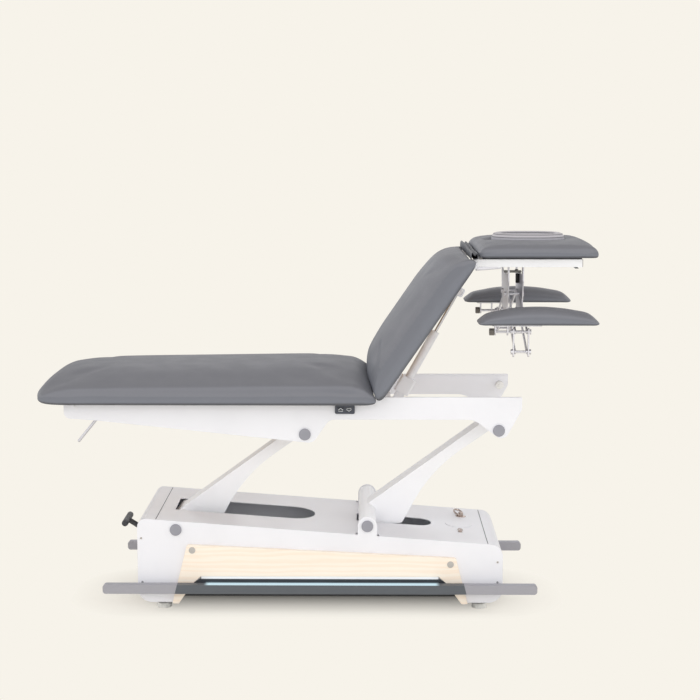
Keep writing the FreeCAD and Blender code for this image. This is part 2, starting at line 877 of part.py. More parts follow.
def arm_corners(x, z):
    """Side outline of a lift arm: straight tapered back, hollow belly and a deep heel."""
    turn = math.radians(arm_angle)

    def place(along_arm, above, radius):
        return (x + along_arm * math.cos(turn) - above * math.sin(turn),
                z + along_arm * math.sin(turn) + above * math.cos(turn), radius)

    return [
        place(-arm_hub_radius, -arm_hub_radius, arm_hub_radius * arm_hub_round_share),
        place(heel_along, -heel_below, heel_corner),
        place(belly_along, -belly_below, belly_radius),
        place(arm_length + arm_tip_radius, -arm_tip_radius, arm_tip_radius * arm_tip_round_share),
        place(arm_length + arm_tip_radius, arm_top_high, arm_top_high * arm_tip_round_share),
        place(-arm_hub_radius, arm_top_low, arm_top_low * arm_hub_round_share),
    ]


def lift_arm(x, z, tube_radius):
    """Welded box arm with its cross tube and upper hub, bored for the bushes."""
    half = arm_width / 2
    corners = arm_corners(x, z)
    box = side_plate(corners, -half, arm_width)
    box = box.cut(side_plate(drawn_in(corners, arm_wall), -half + arm_wall, arm_width - 2 * arm_wall))
    tip_x = x + arm_dx
    tip_z = z + arm_dz
    tube_half = half_base - base_wall - hub_gap
    parts = [box, across(x, z, tube_radius, -tube_half, tube_half),
             across(tip_x, tip_z, arm_upper_hub_radius, -half, half)]
    heel = corners[1]
    drain = upright(heel[0], 0, heel_corner, base_bottom, heel[1] + heel_corner * 2)
    arm = fuse(parts).cut(drain)
    arm = arm.cut(across(x, z, bush_radius, -tube_half, tube_half))
    return arm.cut(across(tip_x, tip_z, bush_radius, -half, half))


def arm_bushes(x, z, upper_clearance):
    """Plain bushes at both ends of the cross tube and of the upper hub."""
    tube_half = half_base - base_wall - hub_gap
    bushes = []
    for cx, cz, half, clearance in ((x, z, tube_half, fit_clearance),
                                    (x + arm_dx, z + arm_dz, arm_width / 2, upper_clearance)):
        bush = across(cx, cz, bush_radius, -half, -half + bush_length)
        bush = bush.cut(across(cx, cz, shaft_radius + clearance, -half, -half + bush_length))
        bushes.extend(both_sides(bush))
    return bushes


def crank():
    """Two crank plates on the foot arm's side walls and the pin between them."""
    half = arm_width / 2
    lean = math.radians(crank_lean)
    pin_x = foot_pivot_x - crank_length * math.sin(lean)
    pin_z = foot_pivot_height - crank_length * math.cos(lean)
    parts = [across(pin_x, pin_z, crank_pin_radius, -half, half)]
    for y in (-half, half - arm_wall):
        web = block(foot_pivot_x - crank_end_radius, foot_pivot_x + crank_end_radius, y, y + arm_wall,
                    foot_pivot_height - crank_length, foot_pivot_height)
        web.rotate(vec(foot_pivot_x, 0, foot_pivot_height), vec(0, 1, 0), crank_lean)
        parts.extend((web, across(pin_x, pin_z, crank_end_radius, y, y + arm_wall)))
    return parts


def foot_arm():
    arm = lift_arm(foot_pivot_x, foot_pivot_height, foot_tube_radius)
    arm = fuse([arm] + crank())
    tube_half = half_base - base_wall - hub_gap
    return arm.cut(across(foot_pivot_x, foot_pivot_height, bush_radius, -tube_half, tube_half))


# Upper frame

def frame_corners():
    """Side outline of an upper frame plate with its two pivot lobes."""
    foot = hinge_x - frame_foot_behind
    head = hinge_x + frame_head_ahead
    lobe_foot_x = foot_pivot_x + arm_dx
    lobe_foot_z = foot_pivot_height + arm_dz
    lobe_head_x = head_pivot_x + arm_dx
    lobe_head_z = head_pivot_height + arm_dz
    return [
        (foot, frame_top, frame_small_corner),
        (foot, frame_foot_bottom, frame_foot_radius),
        (hinge_x - frame_foot_knee_behind, frame_foot_knee, frame_knee_radius),
        (lobe_foot_x + lobe_foot_ahead, lobe_foot_z - lobe_foot_below, lobe_foot_radius),
        (lobe_foot_x + arch_foot_ahead, frame_belly, arch_foot_radius),
        (hinge_x + arch_head_ahead, frame_belly, arch_head_radius),
        (lobe_head_x + lobe_head_ahead, lobe_head_z - lobe_head_below, lobe_head_radius),
        (head, frame_head_height, frame_head_radius),
        (head, frame_top, frame_small_corner),
    ]


def frame_side():
    """Near side plate of the upper frame with its inward lip and holes for shafts and hinge pin."""
    foot = hinge_x - frame_foot_behind + frame_small_corner
    head = hinge_x + frame_head_ahead - frame_small_corner
    plate = side_plate(frame_corners(), -half_frame, frame_wall)
    lip = block(foot, head, -half_frame, -half_frame + frame_lip, frame_top - frame_wall, frame_top)
    plate = fuse([plate, lip])
    for x, z in upper_places():
        plate = plate.cut(across(x, z, shaft_radius, -half_frame, -half_frame + frame_wall))
    return plate.cut(across(hinge_x, hinge_z, hinge_pin_radius, -half_frame, -half_frame + frame_lip))


def lower_places():
    return (foot_pivot_x, foot_pivot_height), (head_pivot_x, head_pivot_height)


def upper_places():
    return [(x + arm_dx, z + arm_dz) for x, z in lower_places()]


def cross_members():
    """Box tubes between the frame plates; the one under the hinge carries the strut's lugs."""
    half = half_frame - frame_wall
    members = []
    for behind in cross_member_behind:
        x = hinge_x - behind - cross_member_width / 2
        tube = block(x, x + cross_member_width, -half, half, cross_member_top - cross_member_height,
                     cross_member_top)
        wall = cross_member_wall
        bore = block(x + wall, x + cross_member_width - wall, -half, half,
                     cross_member_top - cross_member_height + wall, cross_member_top - wall)
        members.append(tube.cut(bore))
    x, z = strut_foot
    face = x - strut_lug_reach
    member = block(face - strut_member_width, face, -half, half, strut_member_top - strut_member_height,
                   strut_member_top)
    parts = [member] + strut_lugs(face, x, z)
    members.append(fuse(parts))
    return members


def strut_lugs(face, x, z):
    """Two lugs with their pin, from a member's face out to the pivot."""
    inner = strut_eye_width / 2 + strut_side_gap
    parts = [across(x, z, strut_pin_radius, -inner - strut_lug_wall, inner + strut_lug_wall)]
    for y in (-inner - strut_lug_wall, inner):
        parts.append(block(face, x, y, y + strut_lug_wall, z - strut_lug_radius, z + strut_lug_radius))
        parts.append(across(x, z, strut_lug_radius, y, y + strut_lug_wall))
    return parts


def leg_board():
    low = hinge_x - frame_foot_behind
    high = hinge_x - leg_board_end
    return block(low, high, -half_frame, half_frame, frame_top, board_top)


def leg_pad():
    low = hinge_x - foot_reach
    high = hinge_x - pad_gap / 2
    half = mattress_width / 2
    pad = cushion(low, high, -half, half, pad_bottom, pad_depth, pad_corner_radius, pad_roll, pad_crown,
                  pad_crown_inset, low_nose=leg_pad_foot_slant, high_nose=leg_pad_head_slant,
                  low_corner=leg_pad_foot_corner, thinning=leg_pad_thinning)
    recess = half_frame + recess_clearance
    return pad.cut(block(low + leg_pad_recess_end, high, -recess, recess, pad_bottom, board_top))


def back_hinge_pins():
    pin = across(hinge_x, hinge_z, hinge_pin_radius, -half_frame, -back_rail_outer + back_rail_width)
    head = across(hinge_x, hinge_z, hinge_head_radius, -half_frame - hinge_head_length, -half_frame)
    return both_sides(fuse([pin, head]))


def rest_buffers():
    """Rubber rollers on pins under the back section's rails."""
    inner = back_rail_outer - back_rail_width
    x = hinge_x + buffer_ahead
    z = hinge_z + back_rail_top - back_rail_height - rest_gap - buffer_radius
    roller = rounded_rims(across(x, z, buffer_radius, -back_rail_outer, -inner), buffer_radius / 6)
    pin = across(x, z, buffer_pin_radius, -half_frame + frame_wall, -inner + buffer_pin_radius)
    return both_sides(fuse([roller, pin]))


def control_places():
    centre = hinge_x - control_behind
    return [centre + side * button_spacing / 2 for side in (-1, 1)]


def control_box():
    x0 = hinge_x - control_behind - control_length / 2
    x1 = x0 + control_length
    y = -half_frame - control_depth
    bottom = control_top - control_height
    corners = ((x0, bottom, control_corner), (x1, bottom, control_corner),
               (x1, control_top, control_corner), (x0, control_top, control_corner))
    box = side_plate(corners, y, control_depth)
    z = control_top - control_height / 2
    for x in control_places():
        half_x = button_width / 2 + rest_gap
        half_z = button_height / 2 + rest_gap
        back = y + button_depth + button_travel
        box = box.cut(block(x - half_x, x + half_x, y, back, z - half_z, z + half_z))
    return box


def button(x):
    z = control_top - control_height / 2
    y = -half_frame - control_depth - button_proud
    corners = ((x - button_width / 2, z - button_height / 2, button_corner),
               (x + button_width / 2, z - button_height / 2, button_corner),
               (x + button_width / 2, z + button_height / 2, button_corner),
               (x - button_width / 2, z + button_height / 2, button_corner))
    return side_plate(corners, y, button_proud + button_depth - rest_gap)


def foot_lever():
    """Hand lever at the foot end: a hub on a stud and a bent-down rod with a round end."""
    x = hinge_x - foot_lever_behind
    y = -half_frame + foot_lever_inset
    half = foot_lever_hub_length / 2
    hub = across(x, foot_lever_top, foot_lever_hub, y - half, y + half)
    rod = Part.makeCylinder(foot_lever_radius, foot_lever_length, vec(x, y, foot_lever_top), vec(-1, 0, 0))
    tip = Part.makeSphere(foot_lever_radius, vec(x - foot_lever_length, y, foot_lever_top))
    for piece in (rod, tip):
        piece.rotate(vec(x, y, foot_lever_top), vec(0, 1, 0), -foot_lever_angle)
    lever = fuse([hub, rod, tip])
    return lever.cut(across(x, foot_lever_top, foot_lever_stud + fit_clearance, y - half, y + half))


def lever_stud():
    """Stud on the near frame plate for the foot lever, with its riveted end."""
    x = hinge_x - foot_lever_behind
    y = -half_frame + foot_lever_inset
    half = foot_lever_hub_length / 2
    stud = across(x, foot_lever_top, foot_lever_stud, -half_frame + frame_wall, y + half + rest_gap)
    seat = y + half + rest_gap
    head = across(x, foot_lever_top, foot_lever_hub, seat, seat + pin_head_length)
    return fuse([stud, head])


# Back section, drawn flat and turned up to the photographed angle

def back_frame():
    """Two rails with rounded ends, cross members and the strut's upper lugs."""
    inner = back_rail_outer - back_rail_width
    bottom = hinge_z + back_rail_top - back_rail_height
    top = hinge_z + back_rail_top
    pivot_x = hinge_x + head_axis_along
    pivot_z = hinge_z - head_axis_below
    low = hinge_x - back_rail_overhang
    high = pivot_x + back_rail_overhang
    corners = ((low, bottom, back_rail_corner), (high, bottom, back_rail_corner),
               (high, top, back_rail_corner), (low, top, back_rail_corner))
    rail = side_plate(corners, -back_rail_outer, back_rail_width)
    rail = rail.cut(across(hinge_x, hinge_z, hinge_pin_radius + fit_clearance, -back_rail_outer, -inner))
    rail = rail.cut(across(pivot_x, pivot_z, head_bolt_radius, -back_rail_outer, -inner))
    parts = both_sides(rail)
    z0 = top - back_rail_corner - back_cross_height
    for share in back_cross_shares:
        x = hinge_x + head_axis_along * share
        parts.append(block(x - back_cross_width / 2, x + back_cross_width / 2, -inner, inner, z0,
                           z0 + back_cross_height))
    x = hinge_x + strut_high_along
    z = hinge_z - strut_high_below
    half_cross = back_cross_width / 2
    parts.append(block(x - half_cross, x + half_cross, -inner, inner, z0, z0 + back_cross_height))
    gap = strut_eye_width / 2 + strut_side_gap
    parts.append(across(x, z, strut_pin_radius, -gap - strut_lug_wall, gap + strut_lug_wall))
    for y in (-gap - strut_lug_wall, gap):
        parts.append(block(x - strut_lug_radius, x + strut_lug_radius, y, y + strut_lug_wall, z, z0))
        parts.append(across(x, z, strut_lug_radius, y, y + strut_lug_wall))
    return raised(fuse(parts))


def back_board():
    half = half_frame - frame_lip - frame_wall
    high = hinge_x + pad_gap / 2 + back_pad_length - back_board_inset
    bottom = hinge_z + back_rail_top
    board = block(hinge_x + back_board_start, high, -half, half, bottom, bottom + board_thickness)
    return raised(board)


def back_pad():
    low = hinge_x + pad_gap / 2
    half = mattress_width / 2
    high = low + back_pad_length
    pad = cushion(low, high, -half, half, pad_bottom, pad_depth, pad_corner_radius, pad_roll,
                  pad_crown, pad_crown_inset, low_nose=back_pad_end_slant, high_nose=back_pad_top_slant)
    recess = half_frame + recess_clearance
    recess_top = hinge_z + back_rail_top + board_thickness
    pad = pad.cut(block(low, high, -recess, recess, pad_bottom, recess_top))
    return raised(pad)


def head_hinge_bolts():
    """Bolts fixed in the back rails, each with a round head outside the head rail."""
    outer = head_frame_width / 2
    inner = back_rail_outer - back_rail_width
    seat = -outer - rest_gap
    bolt = across(head_x, head_z, head_bolt_radius, seat, -inner)
    head = across(head_x, head_z, head_bolt_head_radius, seat - pin_head_length, seat)
    return both_sides(fuse([bolt, head]))


# Strut that raises the back section

def along_strut(shape):
    """Turns a piece drawn along +X from the strut's foot to the strut's photographed direction."""
    x, z = strut_foot
    rise = math.degrees(math.atan2(strut_head[1] - z, strut_head[0] - x))
    shape.rotate(vec(x, 0, z), vec(0, 1, 0), -rise)
    return shape


def strut_cylinder():
    """Tube with a foot eye, a housing block round its lower end and a gland at its mouth."""
    x, z = strut_foot
    bore = strut_tube_radius - strut_tube_wall
    half = strut_eye_width / 2
    end = x + strut_tube_length
    housing_start = x + strut_housing_start
    housing = end_plate(((-strut_housing_width / 2, z - strut_housing_depth / 2, strut_housing_corner),
                         (strut_housing_width / 2, z - strut_housing_depth / 2, strut_housing_corner),
                         (strut_housing_width / 2, z + strut_housing_depth / 2, strut_housing_corner),
                         (-strut_housing_width / 2, z + strut_housing_depth / 2, strut_housing_corner)),
                        housing_start, strut_housing_length)
    shape = fuse([across(x, z, strut_foot_radius, -half, half),
                  block(x, housing_start, -half, half, z - strut_foot_radius, z + strut_foot_radius),
                  housing, along(housing_start, end, 0, z, strut_tube_radius)])
    shape = shape.cut(across(x, z, strut_pin_radius + fit_clearance, -half, half))
    bore_start = housing_start + strut_housing_corner
    shape = shape.cut(along(bore_start, end - strut_gland_length, 0, z, bore))
    shape = shape.cut(along(bore_start, end, 0, z, strut_rod_radius + fit_clearance))
    return along_strut(shape)


def eye_corners(x, z, half_x, half_z, radius):
    return ((x - half_x, z - half_z, radius), (x + half_x, z - half_z, radius),
            (x + half_x, z + half_z, radius), (x - half_x, z + half_z, radius))


def strut_rod():
    """Rod with its piston and an eye whose slot takes up what the constant ratios leave."""
    x, z = strut_foot
    length = math.hypot(strut_head[0] - x, strut_head[1] - z)
    half = strut_eye_width / 2
    centre = x + length
    slot_x = strut_pin_radius + strut_slack_along
    slot_z = strut_pin_radius + strut_slack_across
    outer_x = slot_x + strut_eye_wall
    outer_z = slot_z + strut_eye_wall
    eye = side_plate(eye_corners(centre, z, outer_x, outer_z, outer_x / 2), -half, strut_eye_width)
    slot = side_plate(eye_corners(centre, z, slot_x, slot_z, strut_pin_radius), -half, strut_eye_width)
    start = x + strut_rod_start
    bore = strut_tube_radius - strut_tube_wall
    rod = along(start, centre - slot_x, 0, z, strut_rod_radius)
    piston = along(start, start + strut_piston_length, 0, z, bore - fit_clearance)
    return along_strut(fuse([rod, piston, eye]).cut(slot))


# Head section, drawn where the photograph shows it, from its hinge

def head_frame():
    outer = head_frame_width / 2
    inner = outer - head_rail_width
    bottom = head_z - head_rail_drop
    top = bottom + head_rail_height
    rail = block(head_x, head_x + head_rail_length, -outer, -inner, bottom, top)
    rail = fuse([rail, across(head_x, head_z, head_eye_radius, -outer, -inner)])
    rail = rail.cut(across(head_x, head_z, head_bolt_radius + fit_clearance, -outer, -inner))
    parts = both_sides(rail)
    first = head_x + head_member_start
    last = head_x + head_rail_length - head_member_start
    for x in (first, last - head_rail_width):
        parts.append(block(x, x + head_rail_width, -inner, inner, bottom, top))
    for side in (-1, 1):
        near, far = sorted((side * hanger_leg_inner, side * hanger_leg_outer))
        parts.append(block(first, last, near, far, bottom, top))
    return fuse(parts)


def face_outline(length, width):
    x = head_x + face_centre_along
    corner = width * face_round_share
    return ((x - length / 2, -width / 2, corner), (x + length / 2, -width / 2, corner),
            (x + length / 2, width / 2, corner), (x - length / 2, width / 2, corner))


def face_hole(z0, z1):
    length = face_ring_length - 2 * face_ring_wall
    width = face_ring_width - 2 * face_ring_wall
    return flat_plate(face_outline(length, width), z0, z1 - z0)


def head_board():
    bottom = head_z - head_rail_drop + head_rail_height
    half = head_frame_width / 2 - head_board_inset
    board = block(head_x + head_board_start, head_x + head_rail_length, -half, half, bottom,
                  bottom + head_board_thickness)
    return board.cut(face_hole(bottom, bottom + head_board_thickness))


def head_pad():
    low = head_x + head_pad_start
    high = low + head_pad_length
    half = head_pad_width / 2
    bottom = head_z + head_pad_above
    pad = cushion(low, high, -half, half, bottom, head_pad_depth, head_pad_corner, head_pad_roll,
                  head_pad_crown, head_crown_inset, low_nose=head_pad_low_nose,
                  high_nose=head_pad_high_nose)
    board_half = head_frame_width / 2 - head_board_inset
    board_top_z = head_z - head_rail_drop + head_rail_height + head_board_thickness
    pad = pad.cut(block(head_x + head_board_start, head_x + head_rail_length, -board_half, board_half,
                        bottom, board_top_z))
    top = bottom + head_pad_depth
    pad = pad.cut(face_hole(bottom, top + face_ring_height))
    ring = face_outline(face_ring_length, face_ring_width)
    seat = flat_plate(ring, top - face_ring_seat, face_ring_height)
    return pad.cut(seat)


def face_cushion():
    """Oval ring that sits in the head pad round the face opening."""
    base = head_z + head_pad_above + head_pad_depth - face_ring_seat
    wires = []
    for height_share, inset_share in face_roll_shares:
        inset = face_ring_wall * inset_share
        corners = face_outline(face_ring_length - 2 * inset, face_ring_width - 2 * inset)
        wires.append(outline(corners, plan_view(base + face_ring_height * height_share)))
    ring = Part.makeLoft(wires, True, True)
    return ring.cut(face_hole(base, base + face_ring_height))


def head_strap():
    """Folded strip that covers the gap between the back pad and the head pad."""
    x0 = head_x + strap_start
    x1 = x0 + strap_span
    z0 = head_z - head_rail_drop + head_rail_height
    half = strap_width / 2
    round_top = strap_span * strap_round_share
    top = z0 + strap_height
    corners = [(x0, z0, 0), (x1, z0, 0), (x1, top, round_top), (x0, top, round_top)]
    fold = side_plate(corners, -half, strap_width)
    fold = fold.cut(side_plate(drawn_in(corners, strap_wall), -half, strap_width))
    fold = fold.cut(block(x0, x1 - strap_wall, -half, half, z0, z0 + strap_wall))
    return fold.cut(block(x0, x0 + strap_wall, -half, half, z0, z0 + strap_height * strap_free_share))


# Arm rests, the near one drawn at -Y

def hanger_places():
    return head_x + hanger_first, head_x + hanger_second


def hangers():
    """Two plates under the head frame, each with two legs and a body that narrows downwards."""
    top = head_z - head_rail_drop
    plates = []
    for x in hanger_places():
        corners = (
            (-hanger_foot_half, head_z - hanger_bottom, hanger_corner),
            (hanger_foot_half, head_z - hanger_bottom, hanger_corner),
            (hanger_leg_outer, head_z - hanger_shoulder, hanger_corner),
            (hanger_leg_outer, top, 0),
            (hanger_leg_inner, top, 0),
            (hanger_leg_inner, head_z - hanger_leg_length, hanger_corner / 2),
            (-hanger_leg_inner, head_z - hanger_leg_length, hanger_corner / 2),
            (-hanger_leg_inner, top, 0),
            (-hanger_leg_outer, top, 0),
            (-hanger_leg_outer, head_z - hanger_shoulder, hanger_corner),
        )
        plate = end_plate(corners, x, hanger_wall)
        for side in (-1, 1):
            for below in (link_inner_below, link_inner_below + link_spacing):
                y = side * link_inner_wide
                plate = plate.cut(along(x, x + hanger_wall, y, head_z - below, link_pin_radius))
        plates.append(plate)
    return plates


def pin_with_heads(x0, x1, y, z):
    """Pin along X with a round head beyond each outer plate face."""
    return fuse([along(x0 - pin_head_length, x1 + pin_head_length, y, z, link_pin_radius),
                 along(x0 - pin_head_length, x0, y, z, pin_head_radius),
                 along(x1, x1 + pin_head_length, y, z, pin_head_radius)])


def hanger_pins():
    first, second = hanger_places()
    pins = []
    for below in (link_inner_below, link_inner_below + link_spacing):
        pin = pin_with_heads(first, second + hanger_wall, -link_inner_wide, head_z - below)
        pins.extend(both_sides(pin))
    return pins


def arm_link(drop, outer_clearance):
    """Near link of an arm rest: two plates and the web between them."""
    inner_y = -link_inner_wide
    inner_z = head_z - link_inner_below - drop
    outer_y = -link_outer_wide
    outer_z = head_z - link_outer_below - drop
    length = math.hypot(inner_y - outer_y, inner_z - outer_z)
    slope = math.degrees(math.atan2(inner_z - outer_z, inner_y - outer_y))
    first, second = hanger_places()
    plate_first = first + hanger_wall + link_side_gap
    plate_second = second - link_side_gap - link_wall
    half = link_width / 2
    corners = ((outer_y - half, outer_z - half, half * link_round_share),
               (outer_y + length + half, outer_z - half, half * link_round_share),
               (outer_y + length + half, outer_z + half, half * link_round_share),
               (outer_y - half, outer_z + half, half * link_round_share))
    parts = [end_plate(corners, plate_first, link_wall), end_plate(corners, plate_second, link_wall)]
    middle = outer_y + length / 2
    web_z = outer_z - link_wall / 2
    parts.append(block(plate_first, plate_second + link_wall, middle - half, middle + half, web_z,
                       web_z + link_wall))
    link = fuse(parts)
    link.rotate(vec(0, outer_y, outer_z), vec(1, 0, 0), slope)
    for y, z, clearance in ((inner_y, inner_z, fit_clearance), (outer_y, outer_z, outer_clearance)):
        link = link.cut(along(plate_first, plate_second + link_wall, y, z, link_pin_radius + clearance))
    return link


def arm_carrier():
    """Near carrier: two plates, the lower pin and the long upper pin on which the pad tilts."""
    first, second = hanger_places()
    upper_z = head_z - link_outer_below
    lower_z = upper_z - link_spacing
    y0 = -link_outer_wide - carrier_width / 2
    y1 = y0 + carrier_width
    corners = ((y0, lower_z - carrier_below, carrier_corner), (y1, lower_z - carrier_below, carrier_corner),
               (y1, upper_z + carrier_above, carrier_corner), (y0, upper_z + carrier_above, carrier_corner))
    parts = [end_plate(corners, x, hanger_wall) for x in (first, second)]
    parts.append(pin_with_heads(first, second + hanger_wall, -link_outer_wide, lower_z))
    parts.append(pin_with_heads(first, second + hanger_wall, -link_outer_wide, upper_z))
    parts.append(along(head_x + tilt_rod_start, first, -link_outer_wide, upper_z, link_pin_radius))
    return fuse(parts)


def arm_base():
    """Near base plate under the arm rest's pad, with two plates that hang on the tilt rod."""
    x0 = head_x + arm_plate_start
    y0 = -arm_pad_inner - arm_pad_width / 2 - arm_plate_width / 2
    top = head_z - arm_pad_bottom
    corners = ((x0, y0, arm_plate_corner), (x0 + arm_plate_length, y0, arm_plate_corner),
               (x0 + arm_plate_length, y0 + arm_plate_width, arm_plate_corner),
               (x0, y0 + arm_plate_width, arm_plate_corner))
    parts = [flat_plate(corners, top - arm_plate_wall, arm_plate_wall)]
    pivot_z = head_z - link_outer_below
    half = tilt_plate_width / 2
    for start in (tilt_plate_first, tilt_plate_second):
        x = head_x + start
        parts.append(block(x, x + tilt_plate_wall, -link_outer_wide - half, -link_outer_wide + half, pivot_z,
                           top - arm_plate_wall))
        parts.append(along(x, x + tilt_plate_wall, -link_outer_wide, pivot_z, half))
    base = fuse(parts)
    bore = along(x0, x0 + arm_plate_length, -link_outer_wide, pivot_z, link_pin_radius + fit_clearance)
    return base.cut(bore)


def arm_pad():
    low = head_x + arm_pad_start
    outer = -arm_pad_inner - arm_pad_width
    return cushion(low, low + arm_pad_length, outer, -arm_pad_inner, head_z - arm_pad_bottom, arm_pad_depth,
                   arm_pad_corner, arm_pad_roll, arm_pad_crown, arm_crown_inset,
                   low_nose=arm_pad_low_nose, high_nose=arm_pad_high_nose)


def tilt_knob():
    """Fluted knob on the end of the near tilt rod."""
    x1 = head_x + tilt_plate_first - link_side_gap
    x0 = x1 - tilt_knob_length
    z = head_z - link_outer_below
    knob = rounded_rims(along(x0, x1, -link_outer_wide, z, tilt_knob_radius), tilt_knob_radius / 6)
    flute_radius = tilt_knob_radius / 3
    for i in range(knob_flutes):
        turn = 2 * math.pi * i / knob_flutes
        reach = tilt_knob_radius + flute_radius / 2
        knob = knob.cut(along(x0, x1, -link_outer_wide + reach * math.cos(turn), z + reach * math.sin(turn),
                              flute_radius))
    return knob.cut(along(head_x + tilt_rod_start, x1, -link_outer_wide, z, link_pin_radius + fit_clearance))


os.makedirs("parts", exist_ok=True)

side = base_side()
save("base_side_near", side)
save("base_side_far", mirrored(side))
save("base_top_cover", top_cover())
cover_foot, cover_head = end_covers()
save("base_end_foot", cover_foot)
save("base_end_head", cover_head)
save("base_chassis", chassis())
save("service_cover", service_cover())
panel = wood_panel()
save("wood_panel_near", panel)
save("wood_panel_far", mirrored(panel))
save("led_strips", both_sides(light_strip()))
save("levelling_feet", levelling_feet())
save("lower_shafts", [across(x, z, shaft_radius, -half_base, half_base) for x, z in lower_places()])
save("lower_caps", pivot_caps(lower_places(), half_base))
bar = foot_bar()
save("foot_bar_near", bar)
save("foot_bar_far", mirrored(bar))
save("pedal", pedal())

save("lift_motor", lift_motor())
save("lift_rod", lift_rod())
save("foot_arm", foot_arm())
save("foot_arm_bushes", arm_bushes(foot_pivot_x, foot_pivot_height, fit_clearance))
save("head_arm", lift_arm(head_pivot_x, head_pivot_height, cross_tube_radius))
save("head_arm_bushes", arm_bushes(head_pivot_x, head_pivot_height, open_pivot_clearance))

side = frame_side()
save("frame_side_near", fuse([side, lever_stud()]))
save("frame_side_far", mirrored(side))
save("frame_cross_members", cross_members())
save("leg_board", leg_board())
save("leg_pad", leg_pad())
save("upper_shafts", [across(x, z, shaft_radius, -half_frame, half_frame) for x, z in upper_places()])
save("upper_caps", pivot_caps(upper_places(), half_frame))
save("back_hinge_pins", back_hinge_pins())
save("rest_buffers", rest_buffers())
save("control_box", control_box())
up_x, down_x = control_places()
save("up_button", button(up_x))
save("down_button", button(down_x))
save("foot_lever", foot_lever())

save("back_frame", back_frame())
save("back_board", back_board())
save("back_pad", back_pad())
save("head_hinge_bolts", head_hinge_bolts())
save("strut_cylinder", strut_cylinder())
save("strut_rod", strut_rod())

save("head_frame", head_frame())
save("head_board", head_board())
save("head_pad", head_pad())
save("face_cushion", face_cushion())
save("head_strap", head_strap())
save("armrest_hangers", hangers())
save("hanger_pins", hanger_pins())

near_pieces = {
    "armrest_upper_link": arm_link(0, fit_clearance),
    "armrest_lower_link": arm_link(link_spacing, open_pivot_clearance),
    "armrest_carrier": arm_carrier(),
    "armrest_base": arm_base(),
    "armrest_pad": arm_pad(),
    "tilt_knob": tilt_knob(),
}
for name, piece in near_pieces.items():
    save(name + "_near", piece)
    save(name + "_far", mirrored(piece))
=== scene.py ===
import json
import math
from contextlib import contextmanager
from typing import NamedTuple

import bmesh
import bpy
from mathutils import Matrix, Vector


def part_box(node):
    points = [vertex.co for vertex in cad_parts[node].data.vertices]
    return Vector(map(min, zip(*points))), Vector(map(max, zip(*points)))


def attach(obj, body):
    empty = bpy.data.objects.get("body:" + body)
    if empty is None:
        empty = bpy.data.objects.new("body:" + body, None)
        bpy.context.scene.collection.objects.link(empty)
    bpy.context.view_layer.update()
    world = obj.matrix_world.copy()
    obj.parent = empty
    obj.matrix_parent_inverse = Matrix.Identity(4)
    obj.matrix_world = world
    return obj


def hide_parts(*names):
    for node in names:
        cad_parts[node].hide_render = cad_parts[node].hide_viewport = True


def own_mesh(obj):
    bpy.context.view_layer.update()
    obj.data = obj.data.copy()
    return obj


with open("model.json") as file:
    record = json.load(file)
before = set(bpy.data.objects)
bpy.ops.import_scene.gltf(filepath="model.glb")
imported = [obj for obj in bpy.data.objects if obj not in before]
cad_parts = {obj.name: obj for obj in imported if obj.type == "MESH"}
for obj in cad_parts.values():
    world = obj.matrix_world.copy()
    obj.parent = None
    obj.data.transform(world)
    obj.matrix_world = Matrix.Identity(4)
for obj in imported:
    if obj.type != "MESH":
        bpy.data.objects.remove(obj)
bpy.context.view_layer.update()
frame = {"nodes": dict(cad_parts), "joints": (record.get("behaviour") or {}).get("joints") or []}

bl_info = {
    "name": "Treatment table",
    "version": (1, 0, 0),
    "blender": (4, 5, 0),
    "location": "View3D > Sidebar > Table",
    "description": "Upholsters, finishes and lights a height-adjustable treatment table",
    "category": "Object",
}

joints = {joint["name"]: joint for joint in frame["joints"]}
back_hinge = Vector(joints["back_tilt"]["pos_m"])
head_hinge = Vector(joints["head_tilt"]["pos_m"])
back_rise = math.radians(-joints["back_tilt"]["range_deg"][0])
mm = 0.001
play = 0.0002  # keeps an added fitting off the face that it stands on
side_names = {-1: "near", 1: "far"}


def tint(red, green, blue):
    """Linear colour of a display colour given from 0 to 255."""
    shares = [channel / 255 for channel in (red, green, blue)]
    return tuple(share / 12.92 if share <= 0.04045 else ((share + 0.055) / 1.055) ** 2.4 for share in shares)


def colour_choice(name, description, red, green, blue):
    return bpy.props.FloatVectorProperty(name=name, description=description, subtype="COLOR", size=3,
                                         min=0, max=1, default=tint(red, green, blue))


def length_choice(name, description, millimetres):
    return bpy.props.FloatProperty(name=name, description=description, default=millimetres * mm, min=0,
                                   unit="LENGTH")


def number_choice(name, description, default, **more):
    return bpy.props.FloatProperty(name=name, description=description, default=default, **more)


class PadChoices(bpy.types.PropertyGroup):
    cover_colour: colour_choice("Cover colour", "Imitation leather of the pads", 119, 121, 127)
    ring_colour: colour_choice("Ring colour", "Imitation leather of the face ring", 186, 184, 188)
    grain_size: length_choice("Grain size", "Width of one pebble of the leather's grain", 1.3)
    mesh_size: length_choice("Mesh size", "Voxel of the large pads before they are inflated", 8.4)
    fine_mesh_size: length_choice("Fine mesh size", "Voxel of the small pads before they are inflated", 4.6)
    crown_height: length_choice("Crown height", "Large pads' thickness along their middle", 108)
    edge_height: length_choice("Edge height", "Large pads' thickness at their long edges", 47)
    swell: length_choice("Swell", "Most that a pad's cover moves out under pressure", 4)
    pressure: number_choice("Pressure", "Air pressure that fills a cover", 4.0, min=0)
    frames: bpy.props.IntProperty(name="Frames", description="Steps of the cover's simulation", default=20,
                                  min=1)


